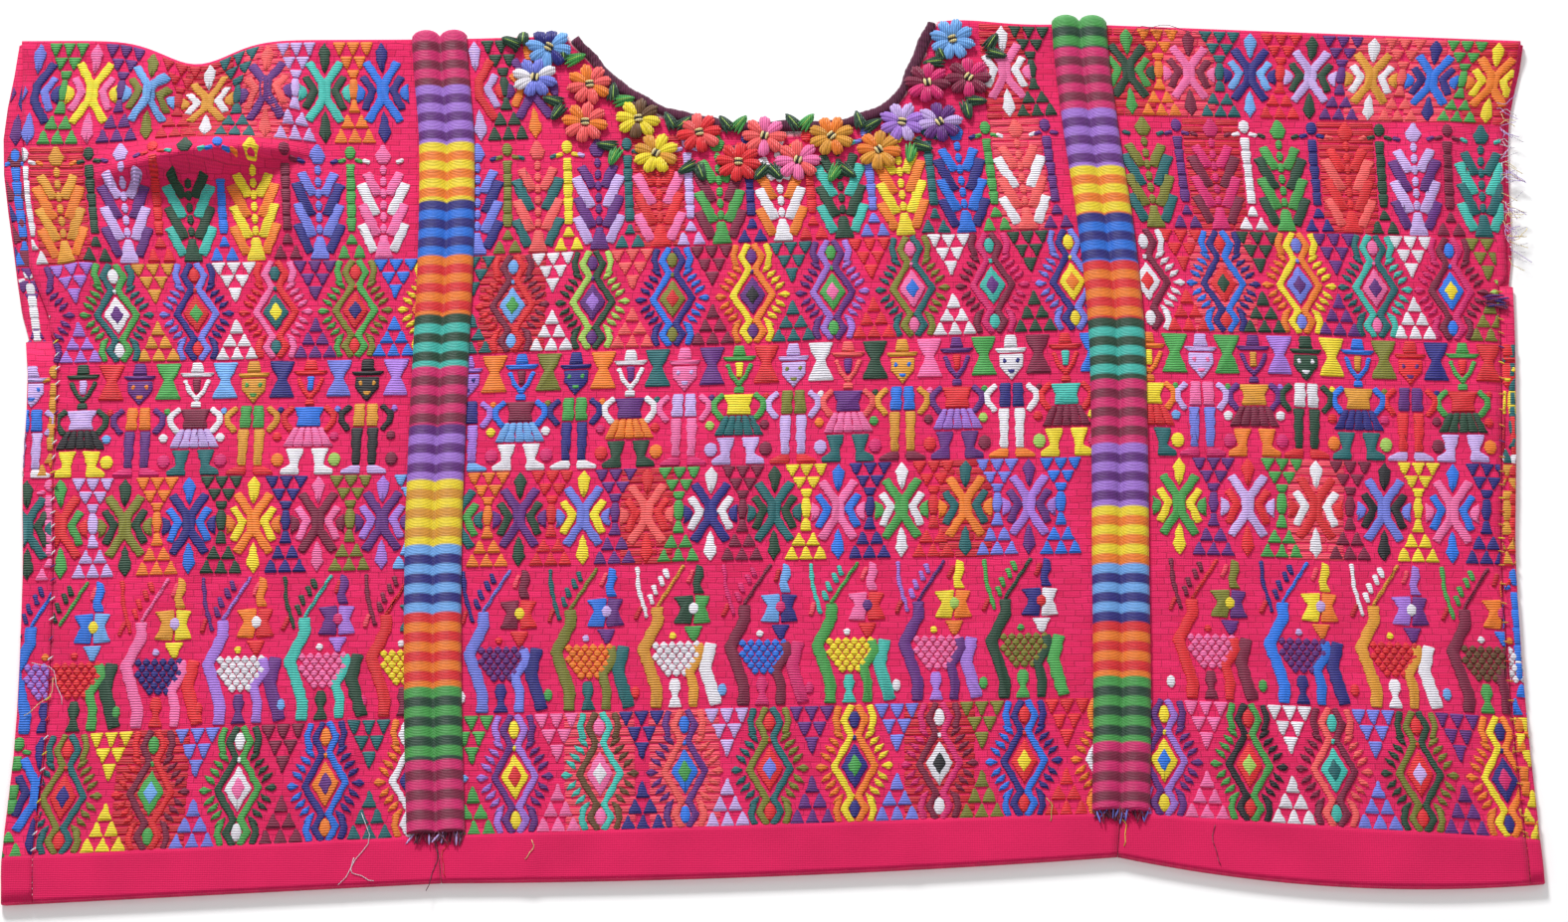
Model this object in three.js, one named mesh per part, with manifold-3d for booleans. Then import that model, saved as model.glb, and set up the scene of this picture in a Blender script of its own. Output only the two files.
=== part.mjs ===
// A huipil blouse laid flat, front layer on back layer.
//
// Three woven lengths, folded over the shoulder, lie side by side. Two padded randas cover the seams
// between them. The neck is cut through both layers, edged, and ringed with thick embroidered flowers.
//
// Millimetres. +X runs across the blouse, +Y from the hem to the shoulder, +Z up from the ground.
import * as THREE from 'three';
import { mergeVertices } from 'three/addons/utils/BufferGeometryUtils.js';
import Module from 'manifold-3d';

const wasm = await Module();
wasm.setup();

// Cloth and gaps
const CLOTH = 1.6; // thickness of one brocaded layer
const GAP = 0.3; // between layers, and between pieces at a seam
const FRONT_TOP = 2 * CLOTH + GAP; // top of the front layer above the ground
const HEM_EXTRA = 0.8; // how much the turned hem stands above the brocade

const SLIVER = 0.02; // thinner slivers are cleaned from joined and cut meshes

// Shoulder fold and side folds
const LOFT = 1.6; // extra height of the front where it rolls over the shoulder
const LOFT_REACH = 16; // how far below the fold that height fades out
const FOLD_DEPTH = 2.5; // how far the shoulder fold reaches past its last straight row
const SIDE_DEPTH = 2.2; // the same for a side fold
const FOLD_STEPS = 4;

// Randas
const RANDA_WIDTH = 28;
const RANDA_HEIGHT = 4;
const RANDA_ROLLS = 2;
const RANDA_FACETS = 6; // across one roll
const RANDA_RIM = 0.6; // thickness left in the groove between the rolls
const ROLL_FULLNESS = 0.6; // under 1, a roll is fuller than a sine wave

// Neck edging
const EDGING_WIDTH = 5;
const EDGING_RISE = 1.4; // crown of the edging above the cloth
const EDGING_STEPS = 34;
const EDGING_COLUMNS = [0, 0.2, 0.5, 0.8, 1]; // shares of its width

// Embroidered flowers
const PETALS = 8;
const FLOWER_RADIUS = 11.5;
const FLOWER_NOTCH = 9.2; // radius between two petals
const EYE_RADIUS = 2.6;
const PETAL_EDGE = 0.7; // height of a petal's edge above the cloth
const PETAL_TOP = 2.3;
const PETAL_TOP_REACH = 0.62; // where the petals are thickest, as a share of their radius
const EYE_EDGE = 1.3;
const EYE_TOP = 2;
const LEAF_LENGTH = 11;
const LEAF_WIDTH = 4.6;
const LEAF_SPREAD = 38; // degrees that each leaf of a pair turns from their middle
const LEAF_REACH = 5; // from where a pair meets to a leaf's middle
const LEAF_EDGE = 0.5;
const LEAF_TOP = 1.7;
const LEAF_CORNERS = 8;
const STITCH_ROOT = 0.8; // how deep flowers and leaves are rooted in the cloth

// The cutter for the neck reaches past the shoulder and through both layers.
const CUTTER_TOP = 300;
const CUTTER_DEPTH = 40;

// The edges of the three lengths at the nine row lines of the weave, from the hem edge to the shoulder fold
const EDGES = {
  leftSide: {
    x: [-374, -375, -372, -373, -376, -377, -386, -396, -391],
    y: [-235, -212, -148, -66, -10, 53, 108.5, 177, 239],
  },
  leftSeam: {
    x: [-164, -167, -170, -172, -172, -171, -170, -171, -176],
    y: [-223.5, -201, -137.5, -59.5, -7, 58, 113.5, 178, 240],
  },
  rightSeam: {
    x: [160, 162, 164, 165, 166, 166, 162, 155, 151],
    y: [-210, -189, -127, -51, 3, 73, 131, 195, 249],
  },
  rightSide: {
    x: [364, 363, 360, 359, 362, 365, 366, 368, 378],
    y: [-224, -203, -138, -58, -2, 65, 124, 189, 239],
  },
};

// Each length's two edges, how many columns of facets it has, and how far its hem's middle hangs below a
// straight line
const LENGTHS = {
  left: { west: 'leftSide', east: 'leftSeam', columns: 12, bow: 0 },
  centre: { west: 'leftSeam', east: 'rightSeam', columns: 18, bow: -3 },
  right: { west: 'rightSeam', east: 'rightSide', columns: 11, bow: -8 },
};
const SHOULDER = 8; // the last row line
const HEM_LINE = 1; // the row line where the turned hem ends

// The dent in the left shoulder and the small rise right of the neck
const SHOULDER_SHIFTS = [
  { x: -300, reach: 24, rise: -14 },
  { x: 88, reach: 26, rise: 4 },
];

// Soft folds of the front layer. Seen along turn, a fold falls off over near on its right and over far on
// its left.
const FOLDS = [
  { x: -296, y: 168, turn: 8, length: 135, near: 5, far: 24, height: 8 },
  { x: -263, y: 207, turn: -52, length: 66, near: 9, far: 12, height: 5.5 },
  { x: -322, y: 206, turn: 62, length: 58, near: 9, far: 16, height: 4 },
  { x: -253, y: 142, turn: 86, length: 84, near: 12, far: 6, height: 3.4 },
  { x: -353, y: 108, turn: 80, length: 96, near: 12, far: 7, height: 3.6 },
  { x: 75, y: 150, turn: 88, length: 92, near: 5, far: 9, height: 2.4 },
  { x: -213, y: -165, turn: 88, length: 130, near: 6, far: 8, height: 2.4 },
  { x: -290, y: -50, turn: 66, length: 190, near: 22, far: 26, height: 1.8 },
  { x: -40, y: -60, turn: 100, length: 220, near: 26, far: 30, height: 1.3 },
  { x: 250, y: 40, turn: 74, length: 230, near: 22, far: 28, height: 1.8 },
  { x: 318, y: -160, turn: 112, length: 120, near: 16, far: 20, height: 2 },
  { x: 330, y: 168, turn: 70, length: 90, near: 9, far: 14, height: 2.4 },
];

// The side seams. Below opening, a row line, the back's edge curls to the front by flap. Above it the back
// shows past the front's edge by the amounts in peek. flapSteps are the columns on the flap's flat part.
const SIDES = {
  left: {
    opening: 5.25,
    flap: 15,
    flapSteps: 2,
    peek: [{ at: 5.5, by: 13 }, { at: 6, by: 7 }, { at: 7, by: 11 }, { at: 8, by: 1.5 }],
  },
  right: {
    opening: 5.6,
    flap: 7,
    flapSteps: 1,
    peek: [{ at: 5.8, by: 3 }, { at: 8, by: 1.5 }],
  },
};

// Where rows of facets lie between the row lines
const FRONT_ROWS = [
  0, 0.5, 0.97, 1.03, 1.5, 2, 2.5, 3, 3.5, 4, 4.5, 5, 5.25, 5.6, 6, 6.35, 6.6, 6.75, 6.85, 6.95,
  7.1, 7.3, 7.55, 7.8, 8,
];
const BACK_ROWS = [7.5, 7, 6.5, 6, 5.6, 5.25, 4, 2.5, 1, 0];

// The neckline, from left of the neck down and up to its right
const NECK = [
  [-116, 256], [-105, 240], [-96, 230], [-85, 215], [-71, 206], [-54, 197], [-25, 191], [10, 191],
  [36, 194], [53, 203], [61, 218], [67, 231], [72, 245], [76, 262],
];

const FLOWERS = [
  { x: -120, y: 233 }, { x: -127, y: 216 }, { x: -99, y: 212 }, { x: -101, y: 190 }, { x: -74, y: 192 },
  { x: -65, y: 172 }, { x: -43, y: 184 }, { x: -23, y: 167 }, { x: -10, y: 182 }, { x: 7, y: 168 },
  { x: 24, y: 182 }, { x: 48, y: 174 }, { x: 60, y: 190 }, { x: 79, y: 190 }, { x: 73, y: 213 },
  { x: 94, y: 216 }, { x: 86, y: 238 },
];

// Leaves grow in pairs. turn is the way that a pair points.
const LEAF_PAIRS = [
  { x: -134, y: 234, turn: 120 }, { x: -112, y: 225, turn: 60 }, { x: -112, y: 201, turn: 200 },
  { x: -87, y: 202, turn: 50 }, { x: -84, y: 176, turn: 210 }, { x: -55, y: 186, turn: 80 },
  { x: -44, y: 167, turn: 250 }, { x: -26, y: 185, turn: 90 }, { x: -8, y: 166, turn: 270 },
  { x: 8, y: 186, turn: 90 }, { x: 28, y: 166, turn: 280 }, { x: 40, y: 186, turn: 70 },
  { x: 65, y: 178, turn: 300 }, { x: 92, y: 203, turn: 320 }, { x: 82, y: 226, turn: 150 },
  { x: 103, y: 232, turn: 20 },
];

const LOOKS = {
  cloth: { color: 0xe0265f, roughness: 0.9 },
  randa: { color: 0x6a3c9a, roughness: 0.55 },
  edging: { color: 0x5a1a3c, roughness: 0.85 },
};

const lerp = THREE.MathUtils.lerp;
const smooth = (low, high, value) => THREE.MathUtils.smoothstep(value, low, high);

// Reads a column of values at a place between its row lines, on a smooth curve.
function along(values, line) {
  const last = values.length - 1;
  const i = Math.min(Math.floor(line), last - 1);
  const t = line - i;
  const before = values[Math.max(i - 1, 0)];
  const after = values[Math.min(i + 2, last)];
  const a = (values[i + 1] - before) / 2;
  const b = (after - values[i]) / 2;
  const h = t * t * (3 - 2 * t);
  return lerp(values[i], values[i + 1], h) + a * t * (1 - t) ** 2 - b * t * t * (1 - t);
}

// Reads a straight-line table with columns at and by.
function fromTable(table, place) {
  const next = table.findIndex((row) => row.at >= place);
  if (next <= 0) return table[next === 0 ? 0 : table.length - 1].by;
  const [low, high] = [table[next - 1], table[next]];
  return lerp(low.by, high.by, (place - low.at) / (high.at - low.at));
}

function straight(values, line) {
  const i = Math.min(Math.floor(line), values.length - 2);
  return lerp(values[i], values[i + 1], line - i);
}

// Y of a row line at x, on one length of cloth
function lineY(length, line, x) {
  const [west, east] = lengthEdges(length, line);
  const s = (x - west) / (east - west);
  const names = LENGTHS[length];
  let y = lerp(straight(EDGES[names.west].y, line), straight(EDGES[names.east].y, line), s);
  y += names.bow * 4 * s * (1 - s) * Math.max(0, HEM_LINE - line);
  for (const shift of SHOULDER_SHIFTS) {
    const nearShoulder = smooth(SHOULDER - 1, SHOULDER, line);
    y += shift.rise * nearShoulder * Math.exp(-(((x - shift.x) / shift.reach) ** 2));
  }
  return y - FOLD_DEPTH * smooth(SHOULDER - 1, SHOULDER, line);
}

// X of a length's two outer edges at a row line
function lengthEdges(length, line) {
  const { west, east } = LENGTHS[length];
  return [along(EDGES[west].x, line), along(EDGES[east].x, line)];
}

// Height of the front layer's top above the ground
function frontTop(length, line, x, y) {
  let height = FRONT_TOP + HEM_EXTRA * (line < HEM_LINE ? 1 : 0);
  for (const fold of FOLDS) {
    const turn = THREE.MathUtils.degToRad(fold.turn);
    const [dx, dy] = [x - fold.x, y - fold.y];
    const run = (dx * Math.cos(turn) + dy * Math.sin(turn)) / (fold.length / 2);
    const off = dy * Math.cos(turn) - dx * Math.sin(turn);
    if (Math.abs(run) >= 1) continue;
    const width = off < 0 ? fold.near : fold.far;
    height += fold.height * (1 - run * run) ** 2 * Math.exp(-((off / width) ** 2));
  }
  const below = lineY(length, SHOULDER, x) - y;
  return height + LOFT * (1 - smooth(0, LOFT_REACH, below));
}

// X of a length's columns at a row line. Each seam has a column at the randa's edge.
function columns(length, line, front) {
  let [west, east] = lengthEdges(length, line);
  const half = RANDA_WIDTH / 2;
  const count = LENGTHS[length].columns;
  if (length === 'left') west += sideInset('left', line, front);
  if (length === 'right') east -= sideInset('right', line, front);
  const marks = [west + (length === 'left' ? 0 : half), east - (length === 'right' ? 0 : half)];
  const inner = count - (length === 'centre' ? 2 : 1);
  const found = [];
  for (let i = 0; i <= inner; i++) found.push(lerp(marks[0], marks[1], i / inner));
  if (length !== 'left') found.unshift(west + GAP / 2);
  if (length !== 'right') found.push(east - GAP / 2);
  return found;
}

// How far a layer's own edge lies inside the blouse's outline
function sideInset(side, line, front) {
  const { opening, flap, peek } = SIDES[side];
  if (line <= opening) return front ? flap + GAP : SIDE_DEPTH;
  return front ? fromTable(peek, line) : 0;
}

const fromPositions = (positions) =>
  new THREE.BufferGeometry().setAttribute('position', new THREE.Float32BufferAttribute(positions, 3));

// A wall between two grids of points. has(row, column) says which cells of the grid there are.
function wall(outer, inner, has = () => true) {
  const [rows, width] = [outer.length, outer[0].length];
  const positions = [];
  const present = (j, i) => j >= 0 && i >= 0 && j < rows - 1 && i < width - 1 && has(j, i);
  const quad = (a, b, c, d) => {
    for (const p of [a, b, c, a, c, d]) positions.push(p.x, p.y, p.z);
  };
  for (let j = 0; j < rows - 1; j++) {
    for (let i = 0; i < width - 1; i++) {
      if (!present(j, i)) continue;
      const corners = [[j, i], [j, i + 1], [j + 1, i + 1], [j + 1, i]];
      const neighbours = [[j - 1, i], [j, i + 1], [j + 1, i], [j, i - 1]];
      quad(...corners.map(([r, c]) => outer[r][c]));
      quad(...corners.toReversed().map(([r, c]) => inner[r][c]));
      neighbours.forEach(([r, c], k) => {
        if (present(r, c)) return;
        const [p, q] = [corners[k], corners[(k + 1) % 4]];
        quad(outer[q[0]][q[1]], outer[p[0]][p[1]], inner[p[0]][p[1]], inner[q[0]][q[1]]);
      });
    }
  }
  return fromPositions(positions);
}

// One length of cloth, front and back, folded over the shoulder, with any side flap
function lengthOfCloth(length) {
  const rows = [];
  const frontLast = FRONT_ROWS.length - 1;
  for (const line of FRONT_ROWS) rows.push({ line, front: true });
  for (let k = 1; k < FOLD_STEPS; k++) {
    rows.push({ line: SHOULDER, front: true, bend: Math.PI * k / FOLD_STEPS });
  }
  for (const line of [SHOULDER, ...BACK_ROWS]) rows.push({ line, front: false });
  const side = SIDES[length];
  const flapColumns = side ? FOLD_STEPS + side.flapSteps : 0;
  const outer = [];
  const inner = [];
  for (const row of rows) {
    const xs = columns(length, row.line, row.front);
    const points = xs.map((x) => layerPoint(length, row, x));
    const flap = Array.from({ length: flapColumns }, (_, k) => flapPoint(length, row, xs, k + 1));
    const ordered = length === 'left' ? [...flap.reverse(), ...points] : [...points, ...flap];
    outer.push(ordered.map((p) => p.outer));
    inner.push(ordered.map((p) => p.inner));
  }
  const body = LENGTHS[length].columns;
  const isBody = (i) => (length === 'left' ? i >= flapColumns : i < body);
  const backFrom = frontLast + FOLD_STEPS;
  const has = (j, i) => isBody(i) || (j >= backFrom && rows[j].line <= side.opening);
  return wall(outer, inner, has);
}

function layerPoint(length, row, x) {
  const y = lineY(length, row.line, x);
  const top = frontTop(length, row.line, x, y);
  const at = (dy, z) => new THREE.Vector3(x, y + dy, z);
  if (row.bend) {
    const [sin, cos] = [Math.sin(row.bend), Math.cos(row.bend)];
    const middle = top / 2;
    return {
      outer: at(FOLD_DEPTH * sin, middle + middle * cos),
      inner: at((FOLD_DEPTH - CLOTH) * sin, middle + (middle - CLOTH) * cos),
    };
  }
  if (!row.front) return { outer: at(0, 0), inner: at(0, CLOTH) };
  const underside = row.line < HEM_LINE ? top - CLOTH - HEM_EXTRA : top - CLOTH;
  return { outer: at(0, top), inner: at(0, underside) };
}

// A point of the back's edge where it curls round to the front: k counts out from the back layer.
function flapPoint(length, row, xs, k) {
  const sign = length === 'left' ? -1 : 1;
  const rim = length === 'left' ? xs[0] : xs.at(-1);
  const { flap, flapSteps } = SIDES[length];
  const outline = rim + sign * SIDE_DEPTH;
  const bend = Math.min(k / FOLD_STEPS, 1) * Math.PI;
  const run = Math.max(k - FOLD_STEPS, 0) / flapSteps;
  const x = lerp(rim, outline - sign * flap, run);
  const y = lineY(length, row.line, x);
  const middle = frontTop(length, row.line, x, y) / 2;
  const at = (dx, z) => new THREE.Vector3(x + sign * dx, y, z);
  return {
    outer: at(SIDE_DEPTH * Math.sin(bend), middle - middle * Math.cos(bend)),
    inner: at((SIDE_DEPTH - CLOTH) * Math.sin(bend), middle - (middle - CLOTH) * Math.cos(bend)),
  };
}

// The two padded rolls over one seam, from the hem line over the shoulder fold
function randa(seam) {
  const [west, east] = seam === 'leftSeam' ? ['left', 'centre'] : ['centre', 'right'];
  const lines = FRONT_ROWS.filter((line) => line > HEM_LINE);
  const rows = lines.map((line) => ({ line, bend: 0 }));
  rows.push(...[1, 2].map((k) => ({ line: SHOULDER, bend: k * Math.PI / FOLD_STEPS })));
  const count = RANDA_ROLLS * RANDA_FACETS;
  const outer = [];
  const inner = [];
  for (const { line, bend } of rows) {
    const middleX = along(EDGES[seam].x, line);
    const upper = [];
    const lower = [];
    for (let i = 0; i <= count; i++) {
      const offset = (i / count - 0.5) * RANDA_WIDTH;
      const x = middleX + offset;
      const side = offset < 0 ? west : east;
      const y = lineY(side, line, x);
      const crown = Math.abs(Math.sin(Math.PI * i / RANDA_FACETS)) ** ROLL_FULLNESS;
      const rise = GAP + lerp(RANDA_RIM, RANDA_HEIGHT, crown);
      const top = frontTop(side, line, x, y);
      const point = (lift) => new THREE.Vector3(
        x,
        y + (FOLD_DEPTH + lift) * Math.sin(bend),
        top / 2 + (top / 2 + lift) * Math.cos(bend),
      );
      upper.push(point(rise));
      lower.push(point(GAP));
    }
    outer.push(upper);
    inner.push(lower);
  }
  return wall(outer, inner);
}

// Points of the neckline that lie on the blouse, each with its normal towards the cloth
function neckline() {
  const through = NECK.map(([x, y]) => new THREE.Vector3(x, y, 0));
  const curve = new THREE.CatmullRomCurve3(through, false, 'centripetal');
  const points = [];
  for (let k = 0; k <= EDGING_STEPS; k++) {
    const at = curve.getPointAt(k / EDGING_STEPS);
    const tangent = curve.getTangentAt(k / EDGING_STEPS);
    points.push({ at, normal: new THREE.Vector3(tangent.y, -tangent.x, 0) });
  }
  return points;
}

// A strip of edging along the neckline, crowned on the front layer and flat on the back layer
function edging(onFront) {
  const onBlouse = ({ at }) => at.y < lineY('centre', SHOULDER, at.x) + FOLD_DEPTH / 2;
  const stations = neckline().filter(onBlouse);
  const outer = [];
  const inner = [];
  for (const { at, normal } of stations) {
    const upper = [];
    const lower = [];
    for (const share of EDGING_COLUMNS) {
      const p = at.clone().addScaledVector(normal, share * EDGING_WIDTH);
      const top = onFront ? frontTop('centre', HEM_LINE, p.x, p.y) : CLOTH;
      const crown = onFront ? EDGING_RISE * Math.sin(Math.PI * share) : 0;
      upper.push(new THREE.Vector3(p.x, p.y, top + crown));
      lower.push(new THREE.Vector3(p.x, p.y, top - CLOTH));
    }
    outer.push(upper);
    inner.push(lower);
  }
  return wall(outer, inner);
}

// A point over the front of the centre length, which follows it round the shoulder fold
function onCentreFront(x, y, lift) {
  const foldY = lineY('centre', SHOULDER, x);
  const past = Math.max(0, y - foldY);
  const bend = (Math.PI / 2) * (1 - Math.exp(-past / FOLD_DEPTH));
  const onFlat = Math.min(y, foldY);
  const middle = frontTop('centre', HEM_LINE, x, onFlat) / 2;
  return new THREE.Vector3(
    x,
    onFlat + (FOLD_DEPTH + lift) * Math.sin(bend),
    middle + (middle + lift) * Math.cos(bend),
  );
}

// A stitched pad of rings of points. rings holds { lift, points } from its root up, and ends at crown.
function pad(rings, crown) {
  const raised = rings.map(({ lift, points }) => points.map(([x, y]) => onCentreFront(x, y, lift)));
  const middle = (points, axis) => points.reduce((sum, p) => sum + p[axis], 0) / points.length;
  const [x, y] = [0, 1].map((axis) => middle(rings[0].points, axis));
  const root = onCentreFront(x, y, rings[0].lift);
  const peak = onCentreFront(x, y, crown);
  const positions = [];
  const triangle = (...corners) => corners.forEach((p) => positions.push(p.x, p.y, p.z));
  const count = raised[0].length;
  for (let i = 0; i < count; i++) {
    const next = (i + 1) % count;
    triangle(raised[0][next], raised[0][i], root);
    for (let k = 0; k < raised.length - 1; k++) {
      const [low, high] = [raised[k], raised[k + 1]];
      triangle(low[i], low[next], high[next]);
      triangle(low[i], high[next], high[i]);
    }
    triangle(raised.at(-1)[i], raised.at(-1)[next], peak);
  }
  return fromPositions(positions);
}

function flower({ x, y }) {
  const ring = (lift, share) => ({
    lift,
    points: Array.from({ length: 2 * PETALS }, (_, i) => {
      const angle = Math.PI * i / PETALS;
      const radius = share * (i % 2 ? FLOWER_NOTCH : FLOWER_RADIUS);
      return [x + radius * Math.cos(angle), y + radius * Math.sin(angle)];
    }),
  });
  const rings = [
    ring(-STITCH_ROOT, 1),
    ring(PETAL_EDGE, 1),
    ring(PETAL_TOP, PETAL_TOP_REACH),
    ring(EYE_EDGE, EYE_RADIUS / FLOWER_RADIUS),
  ];
  return pad(rings, EYE_TOP);
}

function leaf(x, y, turn) {
  const points = Array.from({ length: LEAF_CORNERS }, (_, i) => {
    const angle = 2 * Math.PI * i / LEAF_CORNERS;
    const a = LEAF_LENGTH / 2 * Math.cos(angle);
    const b = LEAF_WIDTH / 2 * Math.sin(angle);
    return [x + a * Math.cos(turn) - b * Math.sin(turn), y + a * Math.sin(turn) + b * Math.cos(turn)];
  });
  return pad([{ lift: -STITCH_ROOT, points }, { lift: LEAF_EDGE, points }], LEAF_TOP);
}

function leavesOf({ x, y, turn }) {
  return [-LEAF_SPREAD, LEAF_SPREAD].map((side) => {
    const angle = THREE.MathUtils.degToRad(turn + side);
    return leaf(x + LEAF_REACH * Math.cos(angle), y + LEAF_REACH * Math.sin(angle), angle);
  });
}

function toSolid(geometry) {
  const merged = mergeVertices(geometry, 1e-4);
  const vertProperties = new Float32Array(merged.attributes.position.array);
  const triVerts = new Uint32Array(merged.index.array);
  return new wasm.Manifold(new wasm.Mesh({ numProp: 3, vertProperties, triVerts }));
}

function fromSolid(solid) {
  const { vertProperties, triVerts } = solid.getMesh();
  const geometry = new THREE.BufferGeometry();
  geometry.setAttribute('position', new THREE.Float32BufferAttribute(vertProperties, 3));
  geometry.setIndex([...triVerts]);
  return geometry;
}

// The space of the neck hole and its edging, through both layers
function neckHole() {
  const reach = EDGING_WIDTH + GAP;
  const rim = neckline().map(({ at, normal }) => at.clone().addScaledVector(normal, reach));
  const outline = rim.map((p) => new THREE.Vector2(p.x, p.y));
  outline.push(new THREE.Vector2(rim.at(-1).x, CUTTER_TOP), new THREE.Vector2(rim[0].x, CUTTER_TOP));
  const shape = new THREE.Shape(outline);
  const hole = new THREE.ExtrudeGeometry(shape, { depth: CUTTER_DEPTH, bevelEnabled: false });
  hole.translate(0, 0, -CUTTER_DEPTH / 2);
  hole.deleteAttribute('normal');
  hole.deleteAttribute('uv');
  return hole;
}

function centreLength() {
  let solid = toSolid(lengthOfCloth('centre'));
  const stitched = [...FLOWERS.map(flower), ...LEAF_PAIRS.flatMap(leavesOf)];
  for (const piece of stitched) solid = solid.add(toSolid(piece));
  const cut = solid.subtract(toSolid(neckHole())).simplify(SLIVER);
  const [cloth] = cut.decompose().sort((a, b) => b.volume() - a.volume()); // without scraps of the cut
  return fromSolid(cloth);
}

function piece(name, geometry, look) {
  geometry.computeVertexNormals();
  const material = new THREE.MeshStandardMaterial({ ...look, metalness: 0 });
  const mesh = new THREE.Mesh(geometry, material);
  mesh.name = name;
  return mesh;
}

const blouse = new THREE.Group();
blouse.add(
  piece('left_panel', lengthOfCloth('left'), LOOKS.cloth),
  piece('centre_panel', centreLength(), LOOKS.cloth),
  piece('right_panel', lengthOfCloth('right'), LOOKS.cloth),
  piece('left_randa', randa('leftSeam'), LOOKS.randa),
  piece('right_randa', randa('rightSeam'), LOOKS.randa),
  piece('neck_edging_front', edging(true), LOOKS.edging),
  piece('neck_edging_back', edging(false), LOOKS.edging),
);

// The origin is on the ground, under the middle of the blouse's box.
const box = new THREE.Box3().setFromObject(blouse);
const middle = box.getCenter(new THREE.Vector3());
blouse.position.set(-middle.x, -middle.y, -box.min.z);
blouse.updateMatrixWorld(true);

export default blouse;
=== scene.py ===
# %% [markdown]
# # A huipil blouse, laid flat
#
# A huipil is woven in narrow lengths on a backstrap loom. Here three lengths are folded over the shoulder
# and joined by two padded bands, the randas. The neck is cut out, overcast in plum and ringed with flowers.
# Almost the whole cloth is covered in brocade: coloured threads laid in by hand, which stand above the
# magenta ground.
#
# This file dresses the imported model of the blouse. First it loads that model, whose place and size are final.

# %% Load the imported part
import math
import random

import bmesh
import bpy
import numpy as np
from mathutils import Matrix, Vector


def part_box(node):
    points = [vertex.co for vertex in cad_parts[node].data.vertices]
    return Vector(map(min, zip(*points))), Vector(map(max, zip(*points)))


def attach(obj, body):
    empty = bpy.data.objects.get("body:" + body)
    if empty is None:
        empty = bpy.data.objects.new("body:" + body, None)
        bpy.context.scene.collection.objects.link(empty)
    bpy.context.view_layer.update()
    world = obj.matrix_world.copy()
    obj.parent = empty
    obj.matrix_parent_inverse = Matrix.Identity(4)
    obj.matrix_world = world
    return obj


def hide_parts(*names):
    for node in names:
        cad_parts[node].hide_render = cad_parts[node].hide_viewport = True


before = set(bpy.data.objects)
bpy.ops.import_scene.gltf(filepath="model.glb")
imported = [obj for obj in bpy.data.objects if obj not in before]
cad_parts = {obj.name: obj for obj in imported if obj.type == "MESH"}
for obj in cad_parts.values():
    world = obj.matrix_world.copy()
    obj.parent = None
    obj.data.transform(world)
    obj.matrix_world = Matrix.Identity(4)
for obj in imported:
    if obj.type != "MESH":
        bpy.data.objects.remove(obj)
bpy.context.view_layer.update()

# %% [markdown]
# ## The cut of the cloth
#
# The cloth is drawn in millimetres, as a maker lays it out. A length has two edges, and nine row lines cross
# it: the hem edge, the line where the turned hem ends, six lines between the rows of brocade, and the
# shoulder. A place on a length is then an x and a line, such as 3.5 for the middle of the row above line 3.
# Every later piece asks this drawing where it lies, so that stitches follow the folds of the cloth.

# %% The cut of the cloth
MM = 0.001
MIDDLE = np.array([-9.0, 9.133, 0.0])  # the drawing's point under which the part's origin lies
CLOTH = 0.8  # thickness of the plain weave
LAYER = 1.6  # thickness of a layer with its brocade
GAP = 0.3
FRONT_TOP = 2 * LAYER + GAP
PILE = 0.7  # how deep the plain weave lies under the top of the brocade
HEM_EXTRA = 0.8
HEM_LINE = 1
SHOULDER = 8
LOFT = 1.6
LOFT_REACH = 16
FOLD_DEPTH = 2.5
SIDE_DEPTH = 2.2

EDGES = {
    "left side": {
        "x": [-374, -375, -372, -373, -376, -377, -386, -396, -391],
        "y": [-235, -212, -148, -66, -10, 53, 108.5, 177, 239],
    },
    "left seam": {
        "x": [-164, -167, -170, -172, -172, -171, -170, -171, -176],
        "y": [-223.5, -201, -137.5, -59.5, -7, 58, 113.5, 178, 240],
    },
    "right seam": {
        "x": [160, 162, 164, 165, 166, 166, 162, 155, 151],
        "y": [-210, -189, -127, -51, 3, 73, 131, 195, 249],
    },
    "right side": {
        "x": [364, 363, 360, 359, 362, 365, 366, 368, 378],
        "y": [-224, -203, -138, -58, -2, 65, 124, 189, 239],
    },
}
LENGTHS = {
    "left": {"west": "left side", "east": "left seam", "bow": 0},
    "centre": {"west": "left seam", "east": "right seam", "bow": -3},
    "right": {"west": "right seam", "east": "right side", "bow": -8},
}
SHOULDER_SHIFTS = [{"x": -300, "reach": 24, "rise": -14}, {"x": 88, "reach": 26, "rise": 4}]
print("Lengths of cloth:", ", ".join(LENGTHS))

# %% [markdown]
# The front layer isn't flat: it is tucked at the left shoulder and has soft waves elsewhere. Each fold is one
# row of a table. It runs along its turn and falls off over near on its right and far on its left, so a small
# near gives a sharp tuck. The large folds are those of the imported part. The creases are lower and finer.

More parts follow.
